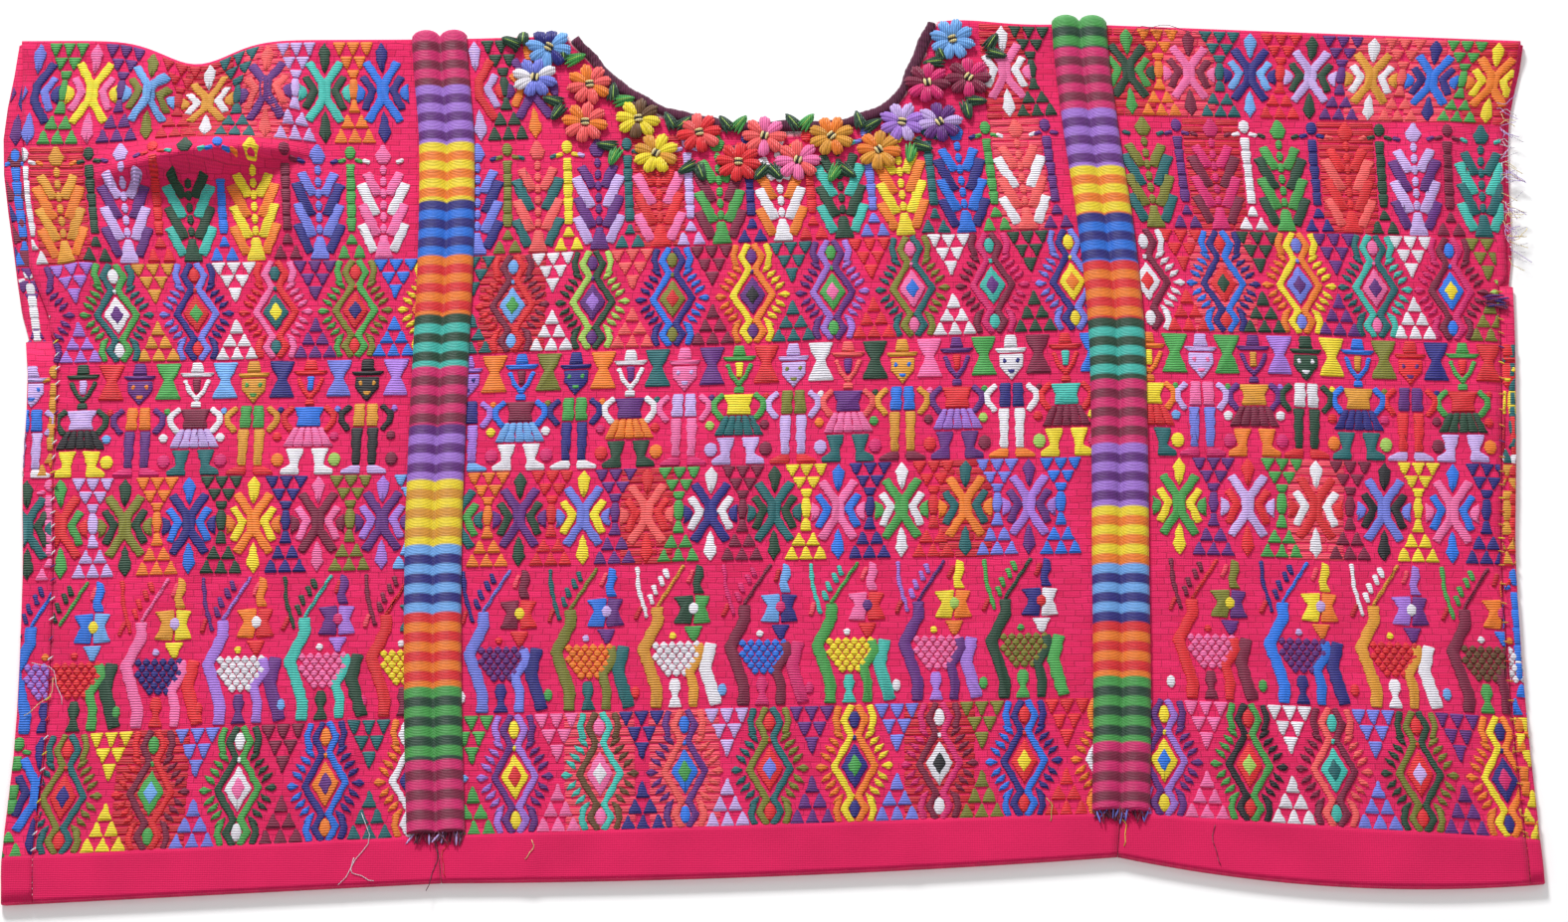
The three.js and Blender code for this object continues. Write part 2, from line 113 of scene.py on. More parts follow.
# %% Folds and creases of the front layer
FOLDS = [
    {"x": -296, "y": 168, "turn": 8, "length": 135, "near": 5, "far": 24, "height": 8},
    {"x": -263, "y": 207, "turn": -52, "length": 66, "near": 9, "far": 12, "height": 5.5},
    {"x": -322, "y": 206, "turn": 62, "length": 58, "near": 9, "far": 16, "height": 4},
    {"x": -253, "y": 142, "turn": 86, "length": 84, "near": 12, "far": 6, "height": 3.4},
    {"x": -353, "y": 108, "turn": 80, "length": 96, "near": 12, "far": 7, "height": 3.6},
    {"x": 75, "y": 150, "turn": 88, "length": 92, "near": 5, "far": 9, "height": 2.4},
    {"x": -213, "y": -165, "turn": 88, "length": 130, "near": 6, "far": 8, "height": 2.4},
    {"x": -290, "y": -50, "turn": 66, "length": 190, "near": 22, "far": 26, "height": 1.8},
    {"x": -40, "y": -60, "turn": 100, "length": 220, "near": 26, "far": 30, "height": 1.3},
    {"x": 250, "y": 40, "turn": 74, "length": 230, "near": 22, "far": 28, "height": 1.8},
    {"x": 318, "y": -160, "turn": 112, "length": 120, "near": 16, "far": 20, "height": 2},
    {"x": 330, "y": 168, "turn": 70, "length": 90, "near": 9, "far": 14, "height": 2.4},
]
CREASES = [
    {"x": -294, "y": 165, "turn": 8, "length": 132, "near": 2.4, "far": 12, "height": 8.4},
    {"x": -322, "y": 208, "turn": 72, "length": 46, "near": 3, "far": 7, "height": 2.2},
    {"x": -254, "y": 196, "turn": -60, "length": 60, "near": 3, "far": 7, "height": 2.4},
    {"x": -345, "y": 20, "turn": 84, "length": 120, "near": 4, "far": 8, "height": 0.9},
    {"x": -250, "y": 60, "turn": 52, "length": 90, "near": 5, "far": 9, "height": 0.8},
    {"x": -310, "y": -120, "turn": 98, "length": 100, "near": 5, "far": 10, "height": 0.7},
    {"x": -110, "y": 90, "turn": 64, "length": 110, "near": 6, "far": 12, "height": 0.8},
    {"x": 20, "y": 60, "turn": 96, "length": 90, "near": 5, "far": 9, "height": 0.7},
    {"x": 110, "y": -40, "turn": 108, "length": 140, "near": 7, "far": 12, "height": 0.9},
    {"x": 40, "y": -150, "turn": 70, "length": 90, "near": 5, "far": 9, "height": 0.6},
    {"x": 215, "y": -110, "turn": 92, "length": 120, "near": 5, "far": 9, "height": 0.8},
    {"x": 285, "y": 130, "turn": 118, "length": 80, "near": 5, "far": 8, "height": 0.7},
    {"x": 345, "y": 20, "turn": 86, "length": 150, "near": 6, "far": 10, "height": 0.9},
    {"x": -120, "y": -212, "turn": 82, "length": 44, "near": 3, "far": 5, "height": 0.9},
    {"x": 60, "y": -205, "turn": 96, "length": 40, "near": 3, "far": 5, "height": 0.7},
    {"x": 350, "y": -205, "turn": 118, "length": 46, "near": 3, "far": 6, "height": 1.1},
]


def smooth(low, high, value):
    t = np.clip((value - low) / (high - low), 0, 1)
    return t * t * (3 - 2 * t)


def fold_height(fold, x, y):
    turn = math.radians(fold["turn"])
    dx, dy = x - fold["x"], y - fold["y"]
    run = (dx * math.cos(turn) + dy * math.sin(turn)) / (fold["length"] / 2)
    off = dy * math.cos(turn) - dx * math.sin(turn)
    width = np.where(off < 0, fold["near"], fold["far"])
    return fold["height"] * np.clip(1 - run * run, 0, 1) ** 2 * np.exp(-((off / width) ** 2))


print(len(FOLDS), "folds and", len(CREASES), "creases")

# %% [markdown]
# Now the drawing itself. x along an edge is read on a smooth curve through its nine values, and y on straight
# lines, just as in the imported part. The functions take arrays, because a row of brocade has tens of thousands
# of points.

# %% From a place on the cloth to a point in space
def along(values, line):
    v = np.asarray(values, float)
    line = np.asarray(line, float)
    i = np.clip(np.floor(line).astype(int), 0, len(v) - 2)
    t = line - i
    a = (v[i + 1] - v[np.maximum(i - 1, 0)]) / 2
    b = (v[np.minimum(i + 2, len(v) - 1)] - v[i]) / 2
    h = t * t * (3 - 2 * t)
    return v[i] + (v[i + 1] - v[i]) * h + a * t * (1 - t) ** 2 - b * t * t * (1 - t)


def straight(values, line):
    return np.interp(line, np.arange(len(values)), values)


def edges_of(name, line):
    return along(EDGES[LENGTHS[name]["west"]]["x"], line), along(EDGES[LENGTHS[name]["east"]]["x"], line)


def line_y(name, line, x):
    west, east = edges_of(name, line)
    s = (x - west) / (east - west)
    low = straight(EDGES[LENGTHS[name]["west"]]["y"], line)
    high = straight(EDGES[LENGTHS[name]["east"]]["y"], line)
    y = low + (high - low) * s + LENGTHS[name]["bow"] * 4 * s * (1 - s) * np.maximum(0, HEM_LINE - line)
    near_shoulder = smooth(SHOULDER - 1, SHOULDER, line)
    for shift in SHOULDER_SHIFTS:
        y = y + shift["rise"] * near_shoulder * np.exp(-(((x - shift["x"]) / shift["reach"]) ** 2))
    return y - FOLD_DEPTH * near_shoulder


def front_top(name, line, x, y):
    """Height of the front layer's top above the ground"""
    height = FRONT_TOP + HEM_EXTRA * (np.asarray(line) < HEM_LINE)
    for fold in FOLDS + CREASES:
        height = height + fold_height(fold, x, y)
    below = line_y(name, SHOULDER, x) - y
    return height + LOFT * (1 - smooth(0, LOFT_REACH, below))


def front_points(name, line, x, lift, bend=0.0):
    """Points over the front layer. bend, up to pi, carries them round the shoulder fold."""
    y = line_y(name, line, x)
    middle = front_top(name, line, x, y) / 2
    return np.stack([
        x + 0 * y,
        y + (FOLD_DEPTH + lift) * np.sin(bend),
        middle + (middle + lift) * np.cos(bend),
    ], axis=-1)


def over_neck(x, y, lift):
    """Points over the front of the centre length, given by x and y. They follow it round the shoulder."""
    fold_y = line_y("centre", SHOULDER, x)
    bend = math.pi / 2 * (1 - np.exp(-np.maximum(0, y - fold_y) / FOLD_DEPTH))
    flat_y = np.minimum(y, fold_y)
    middle = front_top("centre", HEM_LINE, x, flat_y) / 2
    y = flat_y + (FOLD_DEPTH + lift) * np.sin(bend)
    return np.stack([x, y, middle + (middle + lift) * np.cos(bend)], axis=-1)


def metres(points):
    return (np.asarray(points, float) - MIDDLE) * MM


seam_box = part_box("left_randa")
print("The left seam runs inside x", [round(v.x, 3) for v in seam_box],
      "and the drawing says", metres([along(EDGES["left seam"]["x"], 4), 0, 0])[0].round(3))

# %% [markdown]
# ## Colours and finishes
#
# All threads are named as a weaver names them. A shader wants linear light, so each colour, written as it
# looks on a screen, is turned to linear once.

# %% Threads
def linear(*screen):
    return tuple(c / 12.92 if c <= 0.04045 else ((c + 0.055) / 1.055) ** 2.4 for c in screen)


THREADS = {
    "white": linear(0.94, 0.92, 0.96), "sky": linear(0.45, 0.68, 0.95), "lavender": linear(0.80, 0.68, 0.93),
    "lilac": linear(0.66, 0.46, 0.86), "purple": linear(0.39, 0.14, 0.50), "navy": linear(0.15, 0.13, 0.50),
    "blue": linear(0.14, 0.46, 0.90), "periwinkle": linear(0.46, 0.50, 0.90),
    "teal": linear(0.08, 0.40, 0.42), "turquoise": linear(0.25, 0.75, 0.70),
    "bottle": linear(0.11, 0.27, 0.19), "green": linear(0.28, 0.64, 0.30), "lime": linear(0.68, 0.84, 0.38),
    "olive": linear(0.50, 0.50, 0.16), "yellow": linear(0.98, 0.87, 0.16), "gold": linear(0.88, 0.60, 0.18),
    "orange": linear(0.97, 0.50, 0.13), "red": linear(0.90, 0.13, 0.17), "salmon": linear(0.98, 0.36, 0.36),
    "pink": linear(0.98, 0.44, 0.68), "magenta": linear(0.86, 0.11, 0.44),
    "burgundy": linear(0.50, 0.07, 0.24),
    "brown": linear(0.42, 0.28, 0.16), "black": linear(0.11, 0.10, 0.13), "plum": linear(0.36, 0.10, 0.24),
    "crimson": linear(0.82, 0.08, 0.18), "rose": linear(0.97, 0.28, 0.38), "cream": linear(0.96, 0.88, 0.62),
    "ground": linear(0.91, 0.16, 0.40), "hem": linear(0.85, 0.11, 0.35),
}
print(len(THREADS), "threads")

# %% [markdown]
# Node trees are easier to read as sums than as boxes and wires. A Wire stands for one socket, and its
# operators add the Math nodes. A Recipe makes every other node, from its type, settings and inputs.

# %% Shader expressions
class Wire:
    """A number in a shader. Each operator adds the Math node that works it out."""

    def __init__(self, recipe, socket):
        self.recipe = recipe
        self.socket = socket

    def maths(self, operation, *values):
        return self.recipe.node("ShaderNodeMath", {"operation": operation}, dict(enumerate(values)))

    def __add__(self, other):
        return self.maths("ADD", self, other)

    def __sub__(self, other):
        return self.maths("SUBTRACT", self, other)

    def __mul__(self, other):
        return self.maths("MULTIPLY", self, other)

    def sine(self):
        return self.maths("SINE", self)


class Recipe:
    """The nodes of one material"""

    def __init__(self, name, roughness, **constants):
        self.material = bpy.data.materials.new(name)
        self.material.use_nodes = True
        self.tree = self.material.node_tree
        self.surface = self.tree.nodes["Principled BSDF"]
        self.surface.inputs["Roughness"].default_value = roughness
        for socket, value in constants.items():
            self.surface.inputs[socket.replace("_", " ")].default_value = value
        self.place = self.node("ShaderNodeTexCoord", output="Object")

    def node(self, kind, settings=None, inputs=None, output=0):
        made = self.tree.nodes.new(kind)
        for key, value in (settings or {}).items():
            setattr(made, key, value)
        for key, value in (inputs or {}).items():
            self.put(made.inputs[key], value)
        return Wire(self, made.outputs[output])

    def put(self, socket, value):
        if isinstance(value, Wire):
            self.tree.links.new(value.socket, socket)
        else:
            socket.default_value = value

    def axis(self, name):
        return self.node("ShaderNodeSeparateXYZ", inputs={"Vector": self.place}, output=name)

    def noise(self, per_metre, detail=2.0):
        laid = {"Vector": self.place, "Scale": per_metre, "Detail": detail}
        return self.node("ShaderNodeTexNoise", inputs=laid)

    def mix(self, first, second, factor):
        """A colour between two colours"""
        made = self.node("ShaderNodeMix", {"data_type": "RGBA"}, output=2)
        inputs = made.socket.node.inputs
        for socket, value in ((inputs[0], factor), (inputs[6], first), (inputs[7], second)):
            if not isinstance(value, (Wire, float)):
                value = (*value[:3], 1.0)
            self.put(socket, value)
        return made

    def multiply(self, first, second, factor):
        """A colour multiplied by another, as far as factor says"""
        kind = {"data_type": "RGBA", "blend_type": "MULTIPLY"}
        made = self.node("ShaderNodeMix", kind, {0: factor}, output=2)
        self.put(made.socket.node.inputs[6], first)
        self.put(made.socket.node.inputs[7], second)
        return made

    def shade(self, colour, low, high, factor):
        """A colour made darker or lighter, by low where factor is 0 and by high where it is 1"""
        return self.multiply(colour, self.mix((low,) * 3, (high,) * 3, factor), 1.0)

    def finish(self, colour, height=None, depth=0.0, strength=1.0):
        """Joins the colour and, where there is a height, a bump that is depth metres deep"""
        self.put(self.surface.inputs["Base Color"], colour)
        if height is not None:
            relief = {"Height": height, "Distance": depth, "Strength": strength}
            bump = self.node("ShaderNodeBump", inputs=relief, output="Normal")
            self.put(self.surface.inputs["Normal"], bump)
        return self.material


# %% [markdown]
# ### Plain weave
#
# The ground is a fine cotton plain weave with a faint rib across. Two sine waves, one along x and one along
# y, make the over and under of the threads, and noise keeps them from looking printed. The colour is painted
# a little darker in the dips between the threads and a little lighter on their crowns, as painted shade and
# highlight. The colour attribute Thread says which colour a point was woven in, and its alpha is 1 where there
# is brocade. There extra threads in near tones cover the ground in short courses, with fine slits between
# them, so a brick texture lays them. The slits are painted darker, as painted shade.

# %% Plain weave
def ribs(recipe, axis, pitch):
    """Ridges across an axis, a pitch in metres apart, that wander a little"""
    drift = recipe.noise(160.0) * 0.6
    return (recipe.axis(axis) * (2 * math.pi / pitch) + drift * 6.0).sine() * 0.5 + 0.5


WARP_PITCH = 0.0011  # metres
WEFT_PITCH = 0.0009
COURSE_LENGTH = 0.0085  # of the extra threads' courses, in metres
COURSE_HEIGHT = 0.0034
PALE_TONE = (1.0, 1.0, 1.0, 1.0)
DEEP_TONE = (0.74, 0.42, 0.52, 1.0)
# the colour of the slits between courses is painted shade
SLIT_PAINTED_SHADE = (0.85, 0.8, 0.8, 1.0)
TONE_SHARE = 0.6


def courses(cloth):
    """The slits between courses of extra thread, and the tone of each course, with painted shade in the slits
    """
    bent = cloth.node("ShaderNodeVectorMath", {"operation": "MULTIPLY_ADD"}, {
        0: cloth.node("ShaderNodeTexNoise", inputs={"Vector": cloth.place, "Scale": 60.0}, output="Color"),
        1: (0.006, 0.003, 0.0), 2: cloth.place,
    })
    laid = {
        "Vector": bent, "Scale": 1.0, "Brick Width": COURSE_LENGTH, "Row Height": COURSE_HEIGHT,
        "Mortar Size": 0.0003, "Mortar Smooth": 1.0, "Bias": -0.25,
        "Color1": PALE_TONE, "Color2": DEEP_TONE, "Mortar": SLIT_PAINTED_SHADE,
    }
    return [cloth.node("ShaderNodeTexBrick", {"offset": 0.5}, laid, output=name) for name in ("Fac", "Color")]


def plain_weave():
    cloth = Recipe("plain weave", 0.92, Sheen_Weight=0.08, Specular_IOR_Level=0.2)
    dye = cloth.node("ShaderNodeAttribute", {"attribute_name": "Thread"}, output="Color")
    brocaded = cloth.node("ShaderNodeAttribute", {"attribute_name": "Thread"}, output="Alpha")
    weave = ribs(cloth, "X", WARP_PITCH) * 0.4 + ribs(cloth, "Y", WEFT_PITCH) * 0.6
    slits_and_painted_shade, course_tones_and_slit_shade = courses(cloth)
    slits_and_painted_shade = slits_and_painted_shade * brocaded
    # the colour is painted darker in the weave's dips and lighter on its crowns: painted shade and highlight
    colour = cloth.shade(cloth.shade(dye, 0.80, 1.14, cloth.noise(30.0, 3.0)), 0.84, 1.06, weave)
    # the slits are painted darker still: painted shade
    colour = cloth.shade(cloth.multiply(colour, course_tones_and_slit_shade, brocaded * TONE_SHARE), 1.0, 0.80, slits_and_painted_shade)
    return cloth.finish(colour, weave + cloth.noise(700.0) * 0.4 - slits_and_painted_shade * 1.5, 0.0003, 0.7)


PLAIN_WEAVE = plain_weave()
print("Made", PLAIN_WEAVE.name)

# %% [markdown]
# ### Satin threads
#
# Brocade, randas and flowers are all bundles of soft, slightly shiny thread that lie side by side. One recipe
# serves them: fine ridges across an axis, with the colour from the attribute. The colour is painted darker
# between the threads, as painted shade, and lighter on their crowns, as a painted highlight.

# %% Satin threads
def satin(name, axis, pitch, roughness, depth=0.0004):
    floss = Recipe(name, roughness, Sheen_Weight=0.2, Sheen_Roughness=0.4, Specular_IOR_Level=0.35)
    dye = floss.node("ShaderNodeAttribute", {"attribute_name": "Thread"}, output="Color")
    ridge_and_painted_shade = ribs(floss, axis, pitch)
    stray = floss.noise(500.0, 2.0)
    # the colour is painted darker between the threads and lighter on their crowns: painted shade and highlight
    colour = floss.shade(floss.shade(dye, 0.60, 1.10, ridge_and_painted_shade), 0.80, 1.16, stray)
    return floss.finish(colour, ridge_and_painted_shade + stray * 0.5, depth, 0.8)


BROCADE = satin("brocade thread", "Y", 0.0013, 0.62, 0.0005)
RANDA_FLOSS = satin("randa floss", "Y", 0.0008, 0.48)
FLOWER_FLOSS = satin("flower floss", "X", 0.0011, 0.45)
EDGING_FLOSS = satin("edging thread", "X", 0.0012, 0.8, 0.0006)
print("Made", ", ".join(m.name for m in (BROCADE, RANDA_FLOSS, FLOWER_FLOSS, EDGING_FLOSS)))

# %% [markdown]
# ## Helpers for meshes
#
# A grid from create_grid can be wrapped on anything once its points know their row and column. The helpers
# make such a grid, write colours to the attribute Thread, and turn a bmesh into a piece that rides on the
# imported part.

# %% Helpers for meshes
def grid(columns, rows):
    """A bmesh grid, with its vertices in an array by row and column"""
    shape = bmesh.new()
    dye_layer(shape)
    shape.verts.layers.deform.verify()
    bmesh.ops.create_grid(shape, x_segments=columns - 1, y_segments=rows - 1, size=1.0)
    order = sorted(shape.verts, key=lambda v: (round(v.co.y, 6), round(v.co.x, 6)))
    return shape, np.array(order, dtype=object).reshape(rows, columns)


def move(verts, points):
    """Puts vertices at points given in millimetres on the drawing"""
    for vert, point in zip(verts.ravel(), metres(points).reshape(-1, 3)):
        vert.co = point


def dye_layer(shape):
    return shape.verts.layers.float_color.get("Thread") or shape.verts.layers.float_color.new("Thread")


def finish_piece(shape, name, material):
    mesh = bpy.data.meshes.new(name)
    shape.to_mesh(mesh)
    shape.free()
    mesh.materials.append(material)
    mesh.polygons.foreach_set("use_smooth", [True] * len(mesh.polygons))
    piece = bpy.data.objects.new(name, mesh)
    bpy.context.scene.collection.objects.link(piece)
    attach(piece, "root")
    return piece


def triangles(piece):
    return sum(len(p.vertices) - 2 for p in piece.data.polygons)


# %% [markdown]
# ## The three lengths
#
# Each length is one sheet: it starts at the front hem, runs over the shoulder and down the back. A grid is
# wrapped along that way, so the shoulder is a true fold. At the sides the back's edge curls round to the
# front, where the side seam lies. Those columns exist only below the arm opening. Solidify then gives the
# sheet its thickness, with a vertex group that makes the turned hem thicker.

# %% The rows and side folds of a length
FRONT_STEPS = 104
BEND_STEPS = 6
BACK_STEPS = 26
HEM_STEP = 0.03  # the turned hem's step, in row lines
TUCK_LINES = (6.2, 7.3)  # between these the left sheet needs finer rows, for its tuck
TUCK_STEPS = 70
SIDES = {
    "left": {"opening": 5.25, "flap": 15, "peek": [(5.5, 13), (6, 7), (7, 11), (8, 1.5)]},
    "right": {"opening": 5.6, "flap": 7, "peek": [(5.8, 3), (8, 1.5)]},
}


def sheet_rows(name):
    """Line, bend and whether it is in front, for each row of a sheet's grid"""
    lines = np.linspace(0, SHOULDER, FRONT_STEPS + 1)
    lines = np.append(lines[lines != HEM_LINE], [HEM_LINE - HEM_STEP, HEM_LINE + HEM_STEP])
    if name == "left":
        coarse = lines[(lines < TUCK_LINES[0]) | (lines > TUCK_LINES[1])]
        lines = np.append(coarse, np.linspace(*TUCK_LINES, TUCK_STEPS))
    lines = np.sort(lines)
    rows = [(line, 0.0, True) for line in lines]
    rows += [(SHOULDER, math.pi * k / BEND_STEPS, True) for k in range(1, BEND_STEPS)]
    back = np.linspace(SHOULDER, 0, BACK_STEPS + 1)
    back = np.sort(np.append(back, [HEM_LINE - HEM_STEP, HEM_LINE + HEM_STEP]))[::-1]
    rows += [(line, math.pi, False) for line in back]
    return rows


def side_inset(side, line, front):
    facts = SIDES[side]
    if line <= facts["opening"]:
        return facts["flap"] + GAP if front else SIDE_DEPTH
    return np.interp(line, *zip(*facts["peek"])) if front else 0.0


def sheet_surface(name, line, x, bend):
    """The outside of the plain weave: it lies PILE under the brocade, but at the hem it is the top itself"""
    sunk = PILE * smooth(HEM_LINE - HEM_STEP, HEM_LINE + HEM_STEP, np.asarray(line, float))
    return front_points(name, line, x, -sunk, bend)


print(len(sheet_rows("centre")), "rows in the centre sheet")

# %% [markdown]
# With its rows laid out, a sheet can be wrapped. Each row of the grid takes the columns of its body and, at a
# side, the columns of the flap that curls round. Faces of the flap that don't exist are deleted afterwards.

# %% Wrapping a sheet
FLAP_COLUMNS = {"left": 10, "centre": 0, "right": 8}
CURL_STEPS = 5  # columns of a flap that lie on its curl


def flap_surface(name, line, rim):
    """The columns of the back's edge that curl round to the front, from the rim out"""
    sign = -1 if name == "left" else 1
    count = FLAP_COLUMNS[name]
    found = []
    for k in range(1, count + 1):
        bend = math.pi * min(k / CURL_STEPS, 1)
        run = max(k - CURL_STEPS, 0) / (count - CURL_STEPS)
        x = rim + (rim + sign * (SIDE_DEPTH - SIDES[name]["flap"]) - rim) * run
        y = line_y(name, line, x)
        middle = front_top(name, line, x, y) / 2
        sunk = PILE * smooth(HEM_LINE - HEM_STEP, HEM_LINE + HEM_STEP, line)
        found.append([x + sign * SIDE_DEPTH * math.sin(bend), y, middle - (middle - sunk) * math.cos(bend)])
    return found


def wrapped_sheet(name, body_columns):
    rows = sheet_rows(name)
    flap = FLAP_COLUMNS[name]
    shape, verts = grid(body_columns + flap, len(rows))
    points = np.zeros((*verts.shape, 3))
    for j, (line, bend, front) in enumerate(rows):
        west, east = edges_of(name, line)
        west += side_inset("left", line, front) if name == "left" else GAP / 2
        east -= side_inset("right", line, front) if name == "right" else GAP / 2
        x = np.linspace(west, east, body_columns)
        body = sheet_surface(name, line, x, bend)
        if not flap:
            points[j] = body
        elif name == "left":
            points[j] = [*flap_surface(name, line, west)[::-1], *body]
        else:
            points[j] = [*body, *flap_surface(name, line, east)]
    move(verts, points)
    cut_flap(shape, verts, rows, name, flap, body_columns)
    return shape, verts, rows


def cut_flap(shape, verts, rows, name, flap, body_columns):
    """Deletes the flap's columns in front and above the arm opening"""
    if not flap:
        return
    columns = range(flap) if name == "left" else range(body_columns, body_columns + flap)
    gone = set()
    for j, (line, _, front) in enumerate(rows):
        if front or line > SIDES[name]["opening"]:
            gone.update(verts[j, i] for i in columns)
    faces = [f for f in shape.faces if any(v in gone for v in f.verts)]
    bmesh.ops.delete(shape, geom=faces, context="FACES")


# %% [markdown]
# The plain weave is dyed by row: the hem is a little deeper than the brocaded part. In the centre the neck is
# cut with a Boolean, whose cutter is the neckline drawn once as a smooth curve through a few points.

# %% Making the three lengths
NECK = [
    (-116, 256), (-105, 240), (-96, 230), (-85, 215), (-71, 206), (-54, 197), (-25, 191), (10, 191),
    (36, 194), (53, 203), (61, 218), (67, 231), (72, 245), (76, 262),
]
NECK_STEPS = 120
EDGING_WIDTH = 5.0
CUTTER_TOP = 300.0  # y beyond the shoulder
CUTTER_HEIGHT = 60.0


def neckline(steps=NECK_STEPS):
    """Points on the neckline at even distances, and their normals towards the cloth"""
    p = np.array(NECK, float)
    knots = np.append(0, np.cumsum(np.sqrt(np.linalg.norm(np.diff(p, axis=0), axis=1))))
    tangents = np.gradient(p, knots, axis=0)
    fine = np.linspace(0, knots[-1], 20 * len(p))
    i = np.clip(np.searchsorted(knots, fine, side="right") - 1, 0, len(p) - 2)
    span = (knots[i + 1] - knots[i])[:, None]
    t = ((fine - knots[i]) / (knots[i + 1] - knots[i]))[:, None]
    curve = (p[i] * (1 + 2 * t) * (1 - t) ** 2 + tangents[i] * span * t * (1 - t) ** 2
             + p[i + 1] * t * t * (3 - 2 * t) + tangents[i + 1] * span * t * t * (t - 1))
    run = np.append(0, np.cumsum(np.linalg.norm(np.diff(curve, axis=0), axis=1)))
    even = np.linspace(0, run[-1], steps + 1)
    points = np.stack([np.interp(even, run, curve[:, k]) for k in (0, 1)], axis=1)
    tangent = np.gradient(points, axis=0)
    tangent /= np.linalg.norm(tangent, axis=1)[:, None]
    return points, np.stack([tangent[:, 1], -tangent[:, 0]], axis=1)


def neck_cutter():
    """A solid through both layers, as wide as the neck and its edging"""
    points, normals = neckline(60)
    rim = points + normals * (EDGING_WIDTH - 1.0)
    outline = [*rim, (rim[-1][0], CUTTER_TOP), (rim[0][0], CUTTER_TOP)]
    shape = bmesh.new()
    base = [shape.verts.new(metres([x, y, -CUTTER_HEIGHT / 3])) for x, y in outline]
    face = shape.faces.new(base)
    top = bmesh.ops.extrude_face_region(shape, geom=[face], use_keep_orig=True)
    ups = [g for g in top["geom"] if isinstance(g, bmesh.types.BMVert)]
    bmesh.ops.translate(shape, vec=(0, 0, CUTTER_HEIGHT * MM), verts=ups)
    bmesh.ops.recalc_face_normals(shape, faces=shape.faces)
    mesh = bpy.data.meshes.new("cutter")
    shape.to_mesh(mesh)
    shape.free()
    return bpy.data.objects.new("cutter", mesh)


def apply_modifiers(piece):
    bpy.context.view_layer.update()
    done = bpy.data.meshes.new_from_object(piece.evaluated_get(bpy.context.evaluated_depsgraph_get()))
    piece.modifiers.clear()
    old = piece.data
    piece.data = done
    bpy.data.meshes.remove(old)


HEM_SHARE = CLOTH / (CLOTH + PILE + HEM_EXTRA)


def make_length(name, body_columns):
    shape, verts, rows = wrapped_sheet(name, body_columns)
    dye = dye_layer(shape)
    weights = shape.verts.layers.deform.verify()
    for j, (line, _, _) in enumerate(rows):
        in_hem = line < HEM_LINE
        for vert in verts[j]:
            if vert.is_valid:
                vert[dye] = (*THREADS["hem" if in_hem else "ground"], 0.0 if in_hem else 1.0)
                vert[weights][0] = 1.0 if in_hem else HEM_SHARE
    bmesh.ops.recalc_face_normals(shape, faces=shape.faces)
    piece = finish_piece(shape, f"{name}_length", PLAIN_WEAVE)
    if sum(p.normal.z * p.area * (p.center.z - 0.002) for p in piece.data.polygons) < 0:
        piece.data.flip_normals()
    piece.vertex_groups.new(name="hem")
    wall = piece.modifiers.new("wall", "SOLIDIFY")
    wall.thickness = (CLOTH / HEM_SHARE) * MM
    wall.offset = -1
    wall.vertex_group = "hem"
    if name == "centre":
        cutter = neck_cutter()
        bpy.context.scene.collection.objects.link(cutter)
        cut = piece.modifiers.new("neck", "BOOLEAN")
        cut.object = cutter
        cut.operation = "DIFFERENCE"
        cut.solver = "EXACT"
        apply_modifiers(piece)
        bpy.data.objects.remove(cutter)
    else:
        apply_modifiers(piece)
    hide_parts(f"{name}_panel")
    print(piece.name, triangles(piece), "triangles")
    return piece


left_length = make_length("left", 54)
centre_length = make_length("centre", 84)
right_length = make_length("right", 54)

# %% [markdown]
# ## The randas
#
# A randa is worked over the seam with floss wound close round two cords of padding, a few turns of one colour
# and then of another. It is made as a tube: a grid wrapped round the section of the two rolls, with a ring of
# vertices at each side of every colour change, so that the stripes have sharp edges.

# %% Stripe orders of the randas
STRIPE = 5.2  # width of one stripe
RINGS = 5  # rings of vertices to a stripe
SEEN_SHIFT = 3.0
RANDA_SECTIONS = {
    "left seam": [
        (243, "magenta", "burgundy"), (213, "lilac", "purple"), (180, "yellow", "orange"),
        (147, "navy", "blue"), (115, "orange", "red"), (82, "bottle", "turquoise"),
        (53, "magenta", "burgundy"), (21, "purple", "lilac"), (-9, "yellow", "gold"), (-45, "sky", "navy"),
        (-81, "red", "orange"), (-121, "green", "bottle"), (-159, "magenta", "burgundy"),
    ],
    "right seam": [
        (252, "green", "bottle"), (236, "magenta", "burgundy"), (200, "lilac", "purple"),
        (167, "yellow", "orange"), (140, "navy", "blue"), (113, "red", "orange"),
        (81, "bottle", "turquoise"), (46, "magenta", "burgundy"), (11, "lilac", "purple"),
        (-23, "yellow", "orange"), (-55, "sky", "navy"), (-86, "red", "orange"), (-115, "green", "bottle"),
        (-149, "magenta", "burgundy"),
    ],
}
RANDA_WIDTH = 28
RANDA_HEIGHT = 4
RANDA_RIM = 0.6
ROLL_FULLNESS = 0.6
ROLL_STEPS = 9  # steps across one roll
STRIPE_SWELL = 0.045


def stripe_at(seam, y):
    """The thread of a randa at y. The table is as the camera sees it, past the height of the rolls."""
    y += SEEN_SHIFT
    sections = RANDA_SECTIONS[seam]
    top, first, second = [section for section in sections if section[0] >= y or section is sections[0]][-1]
    return first if int((top - y) // STRIPE) % 2 == 0 else second


def randa_rings(seam, west):
    """The lines of a randa's rings, from the hem line to the shoulder"""
    lines = np.linspace(HEM_LINE + HEM_STEP, SHOULDER, 400)
    ys = line_y(west, lines, along(EDGES[seam]["x"], lines))
    run = np.arange(0, ys[-1] - ys[0], STRIPE / RINGS)
    return np.interp(run, ys - ys[0], lines)


